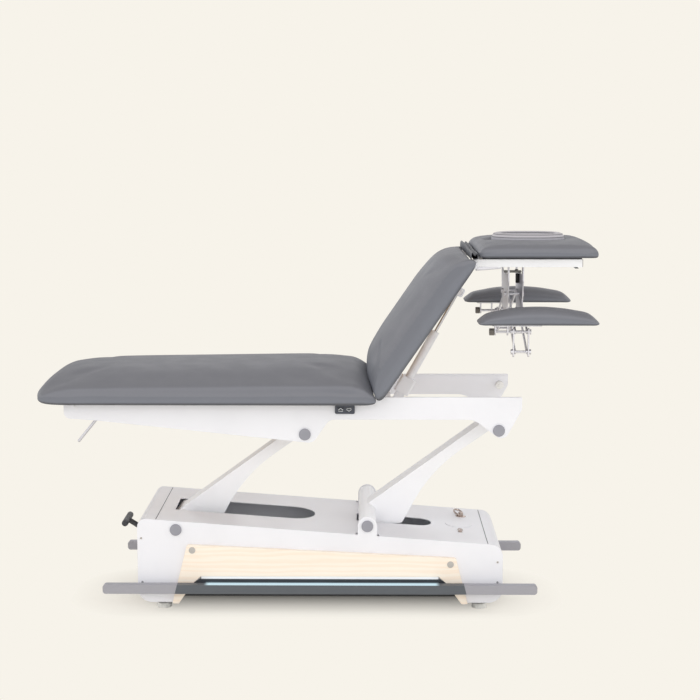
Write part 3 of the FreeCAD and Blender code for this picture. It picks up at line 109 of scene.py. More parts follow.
class PaintChoices(bpy.types.PropertyGroup):
    frame_colour: colour_choice("Frame colour", "Powder coat of the frame and side plates", 241, 241, 246)
    # A lighter copy of the frame's white: painted light on the lift arms, which lie in shade under the pads.
    arm_lit_colour: colour_choice("Arm colour", "Powder coat of the lift arms", 251, 251, 254)
    cover_colour: colour_choice("Cover colour", "Powder coat of the base covers", 238, 237, 241)
    cap_colour: colour_choice("Cap colour", "Moulded pivot caps", 151, 151, 160)
    strut_colour: colour_choice("Strut colour", "Paint of the back section's strut", 232, 232, 236)
    bar_colour: colour_choice("Bar colour", "Middle of the foot control bars", 90, 95, 101)
    bar_end_colour: colour_choice("Bar end colour", "Sleeves on the foot control bars", 163, 162, 169)
    pedal_colour: colour_choice("Pedal colour", "Moulded pedal lever", 57, 58, 62)
    key_box_colour: colour_choice("Key box colour", "Housing of the two keys", 68, 72, 83)
    wood_light: colour_choice("Light wood", "Pale lines of the side panels", 255, 246, 233)
    wood_dark: colour_choice("Dark wood", "Darker lines of the side panels", 250, 227, 203)
    light_colour: colour_choice("Light colour", "Glow of the strip under each side panel", 214, 244, 255)
    light_level: number_choice("Light level", "Strength of the strip's glow", 2.6, min=0)


class FittingSizes(bpy.types.PropertyGroup):
    screw_radius: length_choice("Screw radius", "Heads of the side plates' screws", 3.6)
    screw_height: length_choice("Screw height", "How far a screw head stands out", 2.2)
    panel_cap_radius: length_choice("Panel cap radius", "Caps over the wood panels' bolts", 10.5)
    panel_cap_height: length_choice("Panel cap height", "How far a panel cap stands out", 2.4)
    latch_radius: length_choice("Latch radius", "Quarter turns beside the service lid", 9)
    icon_line: length_choice("Icon line", "Width of the lines on the keys", 1.9)
    hanger_wall: length_choice("Hanger wall", "Thickness of the plates that carry the arm rests", 4)
    hanger_notch: length_choice("Hanger notch", "From the head hinge to the hangers' upper edge", 43)
    strap_wall: length_choice("Strap wall", "Thickness of the folded strip at the head hinge", 3.4)
    notch_height: length_choice("Notch height", "Edge of the wood panels over the light strips", 121.3)
    knee_height: length_choice("Knee height", "Knees of the wood panels beside the light strips", 99.8)
    channel_rise: length_choice("Channel rise", "From a light strip to the top of its dark channel", 10.7)
    channel_foot: length_choice("Channel foot", "Lower edge of the dark channels", 96.5)


class StudioChoices(bpy.types.PropertyGroup):
    lens: number_choice("Lens", "Focal length in millimetres", 82.29, min=1)
    distance: length_choice("Distance", "From the table's middle plane to the camera", 5200)
    height: length_choice("Height", "Of the camera above the floor", 1508.3)
    pitch: number_choice("Pitch", "How far the camera looks down", math.radians(7.6005), subtype="ANGLE")
    yaw: number_choice("Yaw", "Turn of the camera to the foot end", math.radians(0.5324), subtype="ANGLE")
    floor_colour: colour_choice("Background colour", "Floor and background", 247, 243, 234)
    shadow_reach: length_choice("Shadow reach", "How far outside the base the floor's shadow ends", 260)
    top_power: number_choice("Top light", "Power of the ceiling panel", 10, unit="POWER")
    front_power: number_choice("Front light", "Power of the panel behind the camera", 45, unit="POWER")
    side_power: number_choice("Side light", "Power of each panel at the ends", 8, unit="POWER")
    world_level: number_choice("Room light", "Strength of the even light all round", 0.84, min=0)


property_groups = {
    "table_pads": PadChoices,
    "table_paint": PaintChoices,
    "table_fittings": FittingSizes,
    "table_studio": StudioChoices,
}


# Shader nodes

class Value:
    """A shader socket that adds Math nodes where it stands in an expression."""

    def __init__(self, finish, socket):
        self.finish = finish
        self.socket = socket

    def math(self, operation, first, second):
        return self.finish.node("ShaderNodeMath", {"operation": operation}, {0: first, 1: second})

    def __add__(self, other):
        return self.math("ADD", self, other)

    def __sub__(self, other):
        return self.math("SUBTRACT", self, other)

    def __rsub__(self, other):
        return self.math("SUBTRACT", other, self)

    def __mul__(self, other):
        return self.math("MULTIPLY", self, other)

    def __gt__(self, other):
        return self.math("GREATER_THAN", self, other)

    def __lt__(self, other):
        return self.math("LESS_THAN", self, other)


class Finish:
    """A material that is built up node by node on one Principled shader."""

    def __init__(self, name, **constants):
        self.material = bpy.data.materials.new(name)
        self.material.use_nodes = True
        self.tree = self.material.node_tree
        self.shader = self.tree.nodes["Principled BSDF"]
        for key, value in constants.items():
            self.shader.inputs[key.replace("_", " ")].default_value = value
        self.place = self.node("ShaderNodeTexCoord", output="Object")

    def node(self, kind, settings=None, inputs=None, output=0):
        """Adds a node, sets it up, feeds its sockets and returns one of its outputs."""
        made = self.tree.nodes.new(kind)
        for key, value in (settings or {}).items():
            setattr(made, key, value)
        for key, value in (inputs or {}).items():
            if isinstance(value, Value):
                self.tree.links.new(value.socket, made.inputs[key])
            else:
                made.inputs[key].default_value = value
        return Value(self, made.outputs[output])

    def feed(self, socket, value):
        self.tree.links.new(value.socket, self.shader.inputs[socket])

    def vector(self, operation, *terms, output=0):
        return self.node("ShaderNodeVectorMath", {"operation": operation}, dict(enumerate(terms)), output)

    def along(self, axis, vector=None):
        """One coordinate of a vector, of the object's place if no vector is given."""
        return self.node("ShaderNodeSeparateXYZ", None, {"Vector": vector or self.place}, axis)

    def facing_up(self):
        """From -1 for an underside through 0 for a wall to 1 for a level top."""
        return self.along("Z", self.node("ShaderNodeNewGeometry", output="Normal"))

    def zigzag(self, value, width):
        return self.node("ShaderNodeMath", {"operation": "PINGPONG"}, {0: value, 1: width})

    def stretched(self, scale, place=None):
        """Object coordinates scaled, for grain with a direction."""
        return self.node("ShaderNodeMapping", None, {"Vector": place or self.place, "Scale": scale})

    def noise(self, scale, detail=2.0, place=None, roughness=0.5, output=0):
        return self.node("ShaderNodeTexNoise", None, {"Vector": place or self.place, "Scale": scale,
                                                     "Detail": detail, "Roughness": roughness}, output)

    def grain(self, stretch, detail=2.0, roughness=0.5):
        """Noise drawn out along the axes."""
        return self.noise(1.0, detail, self.stretched(stretch), roughness)

    def cells(self, scale, place=None):
        return self.node("ShaderNodeTexVoronoi", {"feature": "SMOOTH_F1"},
                         {"Vector": place or self.place, "Scale": scale}, "Distance")

    def ramp(self, value, low, high, start=0.0, end=1.0, kind="SMOOTHSTEP"):
        """A number that goes from start to end as value goes from low to high."""
        return self.node("ShaderNodeMapRange", {"interpolation_type": kind},
                         {"Value": value, "From Min": low, "From Max": high, "To Min": start, "To Max": end})

    def mix(self, share, first, second):
        """Colour between first and second; each is a colour or a value."""
        inputs = {0: share}
        for socket, colour in ((6, first), (7, second)):
            inputs[socket] = colour if isinstance(colour, Value) else (*colour, 1)
        return self.node("ShaderNodeMix", {"data_type": "RGBA"}, inputs, 2)

    def two_shades(self, share, colour, low, high):
        """The colour made to vary between two shares of itself."""
        return self.mix(share, shade(colour, low), shade(colour, high))

    def bump(self, height, depth, strength=1.0, normal=None):
        inputs = {"Height": height, "Distance": depth, "Strength": strength}
        if normal:
            inputs["Normal"] = normal
        return self.node("ShaderNodeBump", None, inputs)

    def soft_edges(self, radius):
        """Shading normal with the sharp edges of sheet and plate rounded off."""
        return self.node("ShaderNodeBevel", {"samples": 4}, {"Radius": radius})

    def orange_peel(self):
        """Shading normal of paint on sheet."""
        return self.bump(self.noise(420, 2), 0.00012, 0.28, self.soft_edges(0.0009))

    def surface(self, colour, roughness, normal):
        """Feeds the three sockets that vary and returns the finished material."""
        self.feed("Base Color", colour)
        self.feed("Roughness", roughness)
        self.feed("Normal", normal)
        return self.material


def shade(colour, share):
    """The colour made darker or lighter by a share."""
    return tuple(min(channel * share, 1) for channel in colour)


def leather(name, colour, grain_size):
    """Imitation leather: pebbled grain and broad soft gloss, with painted light by facing: lighter, cooler
    sides, painted shade below the ridge, a painted highlight on the ridge, a darker, warmer top and painted
    shade on undersides.
    """
    finish = Finish(name, Specular_IOR_Level=0.35)
    facing_up = finish.facing_up()
    # Painted shade: the colour darkens on faces that look down.
    under = finish.ramp(facing_up, -0.6, 0.0, 1.0, 0.0)
    drift = finish.noise(14, 3)
    fine = finish.noise(0.4 / grain_size, 3)
    warped = finish.vector("MULTIPLY_ADD", finish.noise(0.5 / grain_size, output="Color"),
                           (grain_size, grain_size, grain_size), finish.place)
    creases = finish.ramp(finish.cells(1 / grain_size, warped), 0.25, 0.75)
    red, green, blue = colour
    # Painted light by facing: the sides lighter and cooler, painted shade in the band below the ridge, a
    # painted highlight on the ridge and a darker, warmer top.
    side = (red * 1.03, green * 1.05, blue * 1.11)
    painted_fold_shade = (red * 0.95, green * 0.95, blue * 0.98)
    ridge = (red * 1.13, green * 1.1, blue * 1.1)
    top = (red * 0.84, green * 0.8, blue * 0.79)
    cover = finish.mix(finish.ramp(facing_up, -0.05, 0.34), side, painted_fold_shade)
    cover = finish.mix(finish.ramp(facing_up, 0.36, 0.52), cover, ridge)
    cover = finish.mix(finish.ramp(facing_up, 0.65, 0.95), cover, top)
    uneven = finish.mix(drift * 0.12, cover, shade(colour, 0.8))
    # Painted shade in the grain's creases, with random tone from fine noise.
    crease_shade_and_tone = finish.mix(creases * 0.3 + fine * 0.2, uneven, shade(colour, 0.84))
    waves = finish.bump(finish.noise(26, 2), 0.0012, 0.35)
    # The base colour takes the painted shade of the undersides last.
    return finish.surface(finish.mix(under * 0.7, crease_shade_and_tone, shade(colour, 0.3)),
                          finish.ramp(drift, 0.3, 0.7, 0.5, 0.58) + creases * 0.08,
                          finish.bump(1 - creases, 0.00022, 0.55, waves))


def powder_coat(name, colour, roughness=0.34):
    """Baked powder coat: fine orange peel, rounded sheet edges and a trace of handling marks."""
    finish = Finish(name, Coat_Weight=0.12, Coat_Roughness=0.22)
    marks = finish.noise(5, 4)
    specks = finish.noise(900, 1)
    return finish.surface(
        finish.two_shades(finish.ramp(marks, 0.35, 0.75), colour, 1.0, 0.955),
        finish.ramp(marks, 0.3, 0.7, roughness - 0.03, roughness + 0.06) + specks * 0.04,
        finish.orange_peel())


def paint_with_shade_below(name, colour, painted_shade_colour, line):
    """Paint of the chassis, its walls dark under a line as painted shade under the base."""
    finish = Finish(name, Specular_IOR_Level=0.3)
    marks = finish.noise(6, 4)
    plain = finish.two_shades(marks, colour, 1.03, 0.93)
    # Painted shade: below the line the walls take the dark colour; faces that look up stay light.
    shown = (finish.along("Z") > line) + (finish.facing_up() > 0.6)
    return finish.surface(finish.mix(shown, painted_shade_colour, plain), finish.ramp(marks, 0.3, 0.7, 0.48, 0.6),
                          finish.orange_peel())


def brushed_metal(name, colour, stretch, roughness=0.32):
    """Bright metal with fine parallel brushing."""
    finish = Finish(name, Metallic=1.0)
    streaks = finish.grain(stretch, 3)
    cloud = finish.noise(40, 2)
    return finish.surface(
        finish.two_shades(streaks, colour, 0.88, 1.08),
        finish.ramp(streaks, 0.2, 0.8, roughness - 0.07, roughness + 0.08) + cloud * 0.06,
        finish.bump(streaks, 0.00008, 0.4, finish.soft_edges(0.0005)))


def moulded_plastic(name, colour, roughness=0.5):
    """Spark-textured moulded plastic."""
    finish = Finish(name)
    cloud = finish.noise(30, 3)
    return finish.surface(finish.two_shades(cloud, colour, 1.07, 0.92),
                          finish.ramp(cloud, 0.3, 0.7, roughness - 0.05, roughness + 0.07),
                          finish.bump(finish.cells(700), 0.00012, 0.4, finish.soft_edges(0.0006)))


def panel_wood(name, pale, dark):
    """Varnished pale ash: long fibres, wide cathedral bands and short pores along the panel."""
    finish = Finish(name, Coat_Weight=0.25, Coat_Roughness=0.3)
    bend = finish.grain((2.2, 1, 5))
    swayed = finish.vector("MULTIPLY_ADD", finish.node("ShaderNodeCombineXYZ", None, {"Z": bend}),
                           (0, 0, 0.05), finish.place)
    bands = finish.node("ShaderNodeTexWave", {"bands_direction": "Z"},
                        {"Vector": finish.stretched((0.5, 6, 6), swayed), "Scale": 3.0, "Distortion": 9.0,
                         "Detail": 3.0, "Detail Scale": 1.4})
    fibres = finish.grain((9, 320, 320), 5, 0.65)
    pores = finish.ramp(finish.grain((30, 700, 700)), 0.62, 0.7)
    depth = finish.ramp(bands, 0.15, 0.95) * 0.3 + fibres * 0.42 + pores * 0.18
    return finish.surface(finish.mix(depth, pale, dark), finish.ramp(fibres, 0.3, 0.7, 0.42, 0.54),
                          finish.bump(fibres - pores * 0.8, 0.0002, 0.3, finish.soft_edges(0.0016)))


def plywood(name):
    """Birch plywood: faint face grain and glued layers on the cut edges."""
    finish = Finish(name)
    layer = 0.0015
    layers = finish.zigzag(finish.along("Z"), layer) > layer / 2
    grain = finish.grain((12, 260, 260), 4)
    return finish.surface(finish.mix(layers * 0.3 + grain * 0.5, tint(205, 176, 138), tint(150, 116, 80)),
                          finish.ramp(grain, 0.3, 0.7, 0.6, 0.75), finish.bump(grain, 0.0003, 0.5))


def glow_strip(name, colour, level):
    """Diffuser of the light strip: it shines down, a little brighter under each of its small lamps."""
    finish = Finish(name, Emission_Strength=level, Roughness=0.4)
    downward = finish.ramp(finish.facing_up(), -0.7, -0.1, 1.0, 0.04)
    lamps = finish.zigzag(finish.along("X"), 0.0083) * 60
    shown = finish.mix(lamps + finish.noise(60, 2) * 0.2, colour, shade(colour, 0.86))
    finish.feed("Base Color", finish.mix(downward, tint(70, 78, 86), shown))
    finish.feed("Emission Color", finish.mix(downward, (0, 0, 0), shown))
    return finish.material


def soft_rubber(name, colour, roughness=0.45, clear=0.0):
    """Smooth rubber with fine dust in its surface."""
    finish = Finish(name, Transmission_Weight=clear)
    dust = finish.noise(160, 4)
    return finish.surface(finish.two_shades(dust, colour, 1.05, 0.9),
                          finish.ramp(dust, 0.3, 0.7, roughness, roughness + 0.15),
                          finish.bump(dust, 0.0003, 0.3, finish.soft_edges(0.0008)))


def control_bar(name, middle, end, base_low, base_high, lit, light):
    """Foot bar: dark middle, two light sleeves with leaning rims, and painted light: emission on its top
    where the light strip over it would light it.
    """
    finish = Finish(name, Emission_Strength=1.0)
    length = finish.along("X")
    lean = finish.along("Z") * 0.25
    sleeves = (length - lean < base_low) + (length + lean > base_high)
    # Painted light: the span of the bar that lies under the light strip.
    painted_light_span = finish.ramp(length, lit[0] - 0.006, lit[0] + 0.012) * finish.ramp(
        length, lit[1] - 0.012, lit[1] + 0.006, 1.0, 0.0)
    # Painted light: the bar's top faces under the strip glow as emission.
    glow = finish.ramp(finish.facing_up(), 0.45, 0.85) * painted_light_span
    finish.feed("Emission Color", finish.mix(glow, (0, 0, 0), shade(light, 0.72)))
    cloud = finish.noise(24, 3)
    return finish.surface(
        finish.mix(cloud * 0.35, finish.mix(sleeves, middle, end),
                   finish.mix(sleeves, shade(middle, 0.85), shade(end, 0.9))),
        finish.ramp(cloud, 0.3, 0.7, 0.42, 0.5) + sleeves * 0.05,
        finish.bump(finish.cells(800), 0.0001, 0.35, finish.soft_edges(0.0012)))


# Meshes

def linked(name, data):
    """A new object in the scene."""
    piece = bpy.data.objects.new(name, data)
    bpy.context.scene.collection.objects.link(piece)
    return piece


def baked(piece):
    """The mesh of a piece with its modifiers applied; the piece itself is removed."""
    data = bpy.data.meshes.new_from_object(piece.evaluated_get(bpy.context.evaluated_depsgraph_get()))
    bpy.data.objects.remove(piece)
    return data


def shape_of(data):
    shape = bmesh.new()
    shape.from_mesh(data)
    return shape


def mesh_of(name, shape):
    data = bpy.data.meshes.new(name)
    shape.to_mesh(data)
    shape.free()
    return data


@contextmanager
def edited(data):
    """Lends a mesh as a bmesh and writes it back."""
    shape = shape_of(data)
    yield shape
    shape.to_mesh(data)
    shape.free()


def new_piece(name, data, body, material):
    """Links a finished mesh as a piece of the table that rides on a body."""
    data.materials.clear()
    data.materials.append(material)
    piece = linked(name, data)
    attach(piece, body)
    return piece


def finished(name, shape, smooth_angle=35):
    """Turns a bmesh into mesh data with outward faces and smooth rounds."""
    bmesh.ops.remove_doubles(shape, verts=shape.verts, dist=1e-6)
    bmesh.ops.recalc_face_normals(shape, faces=shape.faces)
    data = mesh_of(name, shape)
    data.shade_smooth()
    data.set_sharp_from_angle(angle=math.radians(smooth_angle))
    return data


def joined(shapes):
    """One bmesh from several."""
    whole = bmesh.new()
    for shape in shapes:
        data = mesh_of("part", shape)
        whole.from_mesh(data)
        bpy.data.meshes.remove(data)
    return whole


def fitted(name, shapes, body, finish, smooth_angle=35):
    """Makes one piece of the table from several shapes."""
    return new_piece(name, finished(name, joined(shapes), smooth_angle), body, materials[finish])


def moved(shape, matrix):
    bmesh.ops.transform(shape, matrix=matrix, verts=shape.verts)
    return shape


def new_verts(made):
    """The vertices among the parts that an operator made."""
    return [part for part in made["geom"] if isinstance(part, bmesh.types.BMVert)]


def rounded(shape, edges, radius, segments):
    bmesh.ops.bevel(shape, geom=edges, offset=radius, offset_type="OFFSET", segments=segments, profile=0.5,
                    affect="EDGES", material=-1)


def soft_box(low, high, radius, segments=3):
    """Block between two corners with every edge rounded."""
    shape = bmesh.new()
    bmesh.ops.create_cube(shape, size=1)
    low, high = Vector(low), Vector(high)
    bmesh.ops.scale(shape, vec=high - low, verts=shape.verts)
    bmesh.ops.translate(shape, vec=(low + high) / 2, verts=shape.verts)
    rounded(shape, shape.edges[:], radius, segments)
    return shape


def soft_boxes(low, high, radius):
    """The same block on both sides of the table; its y counts outwards from the middle plane."""
    boxes = []
    for side in side_names:
        inner, outer = sorted((side * low[1], side * high[1]))
        boxes.append(soft_box((low[0], inner, low[2]), (high[0], outer, high[2]), radius))
    return boxes


def plate(outline, inner, outer):
    """Flat plate with an outline of (x, z) places between two y."""
    shape = bmesh.new()
    start = shape.faces.new([shape.verts.new((x, inner, z)) for x, z in outline])
    made = bmesh.ops.extrude_face_region(shape, geom=[start])
    bmesh.ops.translate(shape, vec=(0, outer - inner, 0), verts=new_verts(made))
    return shape


def tops(shape, kept):
    """Level upward faces whose middle passes a test."""
    return [face for face in shape.faces if face.normal.z > 0.99 and kept(face.calc_center_median())]


def round_head(radius, height, dome):
    """Round head that stands on the plane at zero, its rim rounded and its top domed."""
    shape = bmesh.new()
    bmesh.ops.create_cone(shape, cap_ends=True, cap_tris=False, segments=28, radius1=radius, radius2=radius,
                          depth=height)
    bmesh.ops.translate(shape, vec=(0, 0, height / 2), verts=shape.verts)
    rounded(shape, tops(shape, lambda middle: middle.z > height * 0.9)[0].edges[:], height * 0.45, 4)
    top = tops(shape, lambda middle: middle.z > height * 0.9)
    for share in (0.34, 0.34, 0.4):
        reach = max((vert.co.xy.length for face in top for vert in face.verts), default=radius)
        bmesh.ops.inset_region(shape, faces=top, thickness=reach * share, depth=dome * share)
    return shape


def socket_screw(radius, height):
    """Button-head screw with a six-sided socket."""
    shape = round_head(radius, height, 0)
    centre = tops(shape, lambda middle: middle.xy.length < 1e-5)
    sixth = math.pi / 3
    for vert in centre[0].verts:
        turn = math.atan2(vert.co.y, vert.co.x)
        reach = radius * 0.46 / math.cos((turn % sixth) - sixth / 2)
        vert.co.x, vert.co.y = reach * math.cos(turn), reach * math.sin(turn)
    made = bmesh.ops.extrude_face_region(shape, geom=centre)
    bmesh.ops.translate(shape, vec=(0, 0, -height * 0.7), verts=new_verts(made))
    bmesh.ops.delete(shape, geom=centre, context="FACES_ONLY")
    return shape


def facing(place, direction):
    """Matrix that stands a head, drawn up +Z, on a place so that it faces a direction."""
    return Matrix.Translation(Vector(place)) @ Vector(direction).to_track_quat("Z", "Y").to_matrix().to_4x4()


# Pads

class Form(NamedTuple):
    """How a pad is crowned: heights in metres, shares of its height and powers of its curves."""
    middle: float
    edge: float
    shoulder: float
    low_end: float
    high_end: float
    taper: float
    ridge: float
    tip: float


def relax(data, rounds):
    """Evens a mesh out by a number of smoothing rounds."""
    with edited(data) as soft:
        for _ in range(rounds):
            bmesh.ops.smooth_vert(soft, verts=soft.verts, factor=0.5, use_axis_x=True, use_axis_y=True,
                                  use_axis_z=True)


def cover_mesh(node, voxel, relax_rounds):
    """Even quad mesh of a CAD pad with its facets relaxed away."""
    source = linked("source", frame["nodes"][node].data.copy())
    with edited(source.data) as merged:
        bmesh.ops.remove_doubles(merged, verts=merged.verts, dist=1e-5)
    remesh = source.modifiers.new("remesh", "REMESH")
    remesh.mode = "VOXEL"
    remesh.voxel_size = voxel
    data = baked(source)
    data.materials.clear()
    relax(data, relax_rounds)
    return data


def inflate(data, held, choices, swell):
    """Fills a cover with air in a cloth simulation, its held points fixed, and caps how far it moves."""
    piece = linked("cover", data)
    pins = piece.vertex_groups.new(name="pins")
    pins.add([vert.index for vert in data.vertices if held(vert.co)], 1.0, "REPLACE")
    cloth = piece.modifiers.new("cloth", "CLOTH")
    cloth.settings.quality = 3
    cloth.settings.mass = 0.3
    cloth.settings.tension_stiffness = 25
    cloth.settings.compression_stiffness = 25
    cloth.settings.shear_stiffness = 12
    cloth.settings.bending_stiffness = 2.0
    cloth.settings.use_pressure = True
    cloth.settings.uniform_pressure_force = choices.pressure
    cloth.settings.vertex_group_mass = "pins"
    cloth.settings.effector_weights.gravity = 0
    cloth.point_cache.frame_end = choices.frames
    for step in range(1, choices.frames + 1):
        bpy.context.scene.frame_set(step)
    settled = piece.evaluated_get(bpy.context.evaluated_depsgraph_get()).to_mesh()
    ends = [vert.co.copy() for vert in settled.vertices]
    piece.modifiers.clear()
    bpy.context.scene.frame_set(1)
    for vert, end in zip(data.vertices, ends):
        move = end - vert.co
        if move.length > 1e-9:
            vert.co += move.normalized() * (swell * math.tanh(move.length / swell))
    bpy.data.objects.remove(piece)
    relax(data, 3)


def subdivided(data):
    piece = linked("cover", data)
    rounds = piece.modifiers.new("rounds", "SUBSURF")
    rounds.levels = rounds.render_levels = 1
    finer = baked(piece)
    finer.shade_smooth()
    return finer


def lying(rise):
    """Matrix that lays the back section flat about its hinge; no rise leaves a level section as it is."""
    return Matrix.Translation(back_hinge) @ Matrix.Rotation(rise, 4, "Y") @ Matrix.Translation(-back_hinge)


def corners_of(data, level):
    """Lowest and highest corner of a mesh's box, measured along its section."""
    spots = [level @ vert.co for vert in data.vertices]
    return (Vector(min(spot[axis] for spot in spots) for axis in range(3)),
            Vector(max(spot[axis] for spot in spots) for axis in range(3)))


def pushed_out(share, start, amount):
    """Moves a share of the way to a pad's edge nearer to the edge, which makes its ridge crisper."""
    reach = min(max((share - start) / (1 - start) * 2, 0), 1)
    return share + max(1 - share, 0) * amount * reach * reach * (3 - 2 * reach)


def crown(data, low, high, level, form):
    """Raises a pad's middle, lets its long edges down and thins its two ends, as stretched foam does."""
    middle = (low + high) / 2
    half = (high - low) / 2
    back = level.inverted()
    for vert in data.vertices:
        spot = level @ vert.co
        across = min(abs(spot.y - middle.y) / half.y, 1)
        along = min(abs(spot.x - middle.x) / half.x, 1)
        thinned = 1 - (form.low_end if spot.x < middle.x else form.high_end) * along ** form.taper
        height = (form.middle - (form.middle - form.edge) * across ** form.shoulder) * thinned
        spot.z = low.z + (spot.z - low.z) * height / (high.z - low.z)
        spot.y = middle.y + math.copysign(pushed_out(across, 0.75, form.ridge) * half.y, spot.y - middle.y)
        spot.x = middle.x + math.copysign(pushed_out(along, 0.55, form.tip) * half.x, spot.x - middle.x)
        vert.co = back @ spot


def stretch_over(data, low, high, level):
    """Stretches a cover back to the length, width, height and seat of its pad."""
    now_low, now_high = corners_of(data, level)
    back = level.inverted()
    for vert in data.vertices:
        spot = level @ vert.co
        for axis in range(3):
            share = (spot[axis] - now_low[axis]) / (now_high[axis] - now_low[axis])
            spot[axis] = low[axis] + share * (high[axis] - low[axis])
        vert.co = back @ spot


def upholster(name, node, body, finish, voxel, held, swell, relax_rounds, form=None, rise=0.0,
              reach=(0, 0)):
    """Replaces a CAD pad by an inflated cushion whose ends go on by its reach."""
    level = lying(rise)
    low, high = corners_of(frame["nodes"][node].data, level)
    data = cover_mesh(node, voxel, relax_rounds)
    if form:
        crown(data, low, high, level, form)
        high.z = low.z + form.middle
    low.x -= reach[0]
    high.x += reach[1]
    inflate(data, held, bpy.context.scene.table_pads, swell)
    stretch_over(data, low, high, level)
    pad = new_piece(name, subdivided(data), body, materials[finish])
    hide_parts(node)
    return pad


def height_over_hinge(point):
    """A point's height over the back hinge, as if the back section lay flat."""
    away = point - back_hinge
    return away.z * math.cos(back_rise) - away.x * math.sin(back_rise)


class TABLE_OT_leg_cushion(bpy.types.Operator):
    """Leg cushion: crowned foam under one wrapped cover, flat where it lies on its board"""
    bl_idname = "treatment_table.leg_cushion"
    bl_label = "Leg cushion"

    def execute(self, context):
        choices = context.scene.table_pads
        board_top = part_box("leg_board")[1].z
        upholster("leg_cushion", "leg_pad", "upper_frame", "grey_leather", choices.mesh_size,
                  lambda point: point.z < board_top + 0.003, choices.swell, 4,
                  Form(middle=choices.crown_height, edge=choices.edge_height, shoulder=3.2, low_end=0.18,
                       high_end=-0.04, taper=6, ridge=0.6, tip=0.0), reach=(0.002, 0.005))
        return {"FINISHED"}


class TABLE_OT_back_cushion(bpy.types.Operator):
    """Back cushion: as the leg cushion, raised with the back section"""
    bl_idname = "treatment_table.back_cushion"
    bl_label = "Back cushion"

    def execute(self, context):
        choices = context.scene.table_pads
        board_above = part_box("leg_board")[1].z - back_hinge.z
        upholster("back_cushion", "back_pad", "back_section", "grey_leather", choices.mesh_size,
                  lambda point: height_over_hinge(point) < board_above + 0.003, choices.swell, 4,
                  Form(middle=choices.crown_height, edge=choices.edge_height, shoulder=3.2, low_end=-0.04,
                       high_end=0.02, taper=4, ridge=0.6, tip=0.0), rise=back_rise, reach=(0.004, 0.004))
        return {"FINISHED"}


class TABLE_OT_head_cushion(bpy.types.Operator):
    """Head cushion with the opening for the face"""
    bl_idname = "treatment_table.head_cushion"
    bl_label = "Head cushion"

    def execute(self, context):
        choices = context.scene.table_pads
        board_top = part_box("head_board")[1].z
        ring_low, ring_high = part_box("face_cushion")
        centre = (ring_low + ring_high) / 2
        size = (ring_high - ring_low) / 2

        def held(point):
            near_ring = math.hypot((point.x - centre.x) / size.x, (point.y - centre.y) / size.y) < 1.12
            return point.z < board_top + 0.003 or near_ring

        upholster("head_cushion", "head_pad", "head_section", "grey_leather", choices.fine_mesh_size * 1.15,
                  held, choices.swell * 0.6, 5,
                  Form(middle=0.047, edge=0.033, shoulder=4, low_end=0.0, high_end=0.0, taper=4, ridge=0.5,
                       tip=0.45), reach=(0.003, 0))
        return {"FINISHED"}


class TABLE_OT_arm_cushions(bpy.types.Operator):
    """Two arm cushions, the far one mirrored from the near one"""
    bl_idname = "treatment_table.arm_cushions"
    bl_label = "Arm cushions"

    def execute(self, context):
        choices = context.scene.table_pads
        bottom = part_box("armrest_pad_near")[0].z
        near = upholster("arm_cushion_near", "armrest_pad_near", "armrest_near", "grey_leather",
                         choices.fine_mesh_size, lambda point: point.z < bottom + 0.002,
                         choices.swell * 0.6, 6,
                         Form(middle=0.05, edge=0.037, shoulder=3, low_end=0.5, high_end=0.5, taper=1.9,
                              ridge=0.3, tip=0.4))
        mirrored = moved(shape_of(near.data), Matrix.Scale(-1, 4, (0, 1, 0)))
        bmesh.ops.reverse_faces(mirrored, faces=mirrored.faces)
        data = mesh_of("arm_cushion_far", mirrored)
        data.shade_smooth()
        far = new_piece("arm_cushion_far", data, "armrest_far", materials["grey_leather"])
        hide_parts("armrest_pad_far")
        return {"FINISHED"}


class TABLE_OT_face_ring(bpy.types.Operator):
    """Light ring cushion round the face opening, with its two sewn seams"""
    bl_idname = "treatment_table.face_ring"
    bl_label = "Face ring"

    def execute(self, context):
        choices = context.scene.table_pads
        low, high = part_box("face_cushion")
        ring = upholster("face_ring", "face_cushion", "head_section", "ring_leather",
                         choices.fine_mesh_size * 0.75, lambda point: point.z < low.z + 0.012,
                         choices.swell * 0.35, 4)
        seams = [self.seam(context, ring.data, low.z + share * (high.z - low.z)) for share in (0.6, 0.86)]
        piping = fitted("face_ring_seams", seams, "head_section", "ring_seam", 60)
        piping.parent = ring
        return {"FINISHED"}

    def seam(self, context, data, height):
        """Round bead where a level plane meets a mesh."""
        cut = shape_of(data)
        bmesh.ops.bisect_plane(cut, geom=cut.verts[:] + cut.edges[:] + cut.faces[:], plane_co=(0, 0, height),
                               plane_no=(0, 0, 1), clear_inner=True, clear_outer=True)
        line = linked("seam", mesh_of("seam", cut))
        with context.temp_override(object=line, active_object=line, selected_objects=[line],
                                   selected_editable_objects=[line]):
            bpy.ops.object.convert(target="CURVE")
        line.data.bevel_depth = 0.0011
        line.data.bevel_resolution = 2
        return shape_of(baked(line))


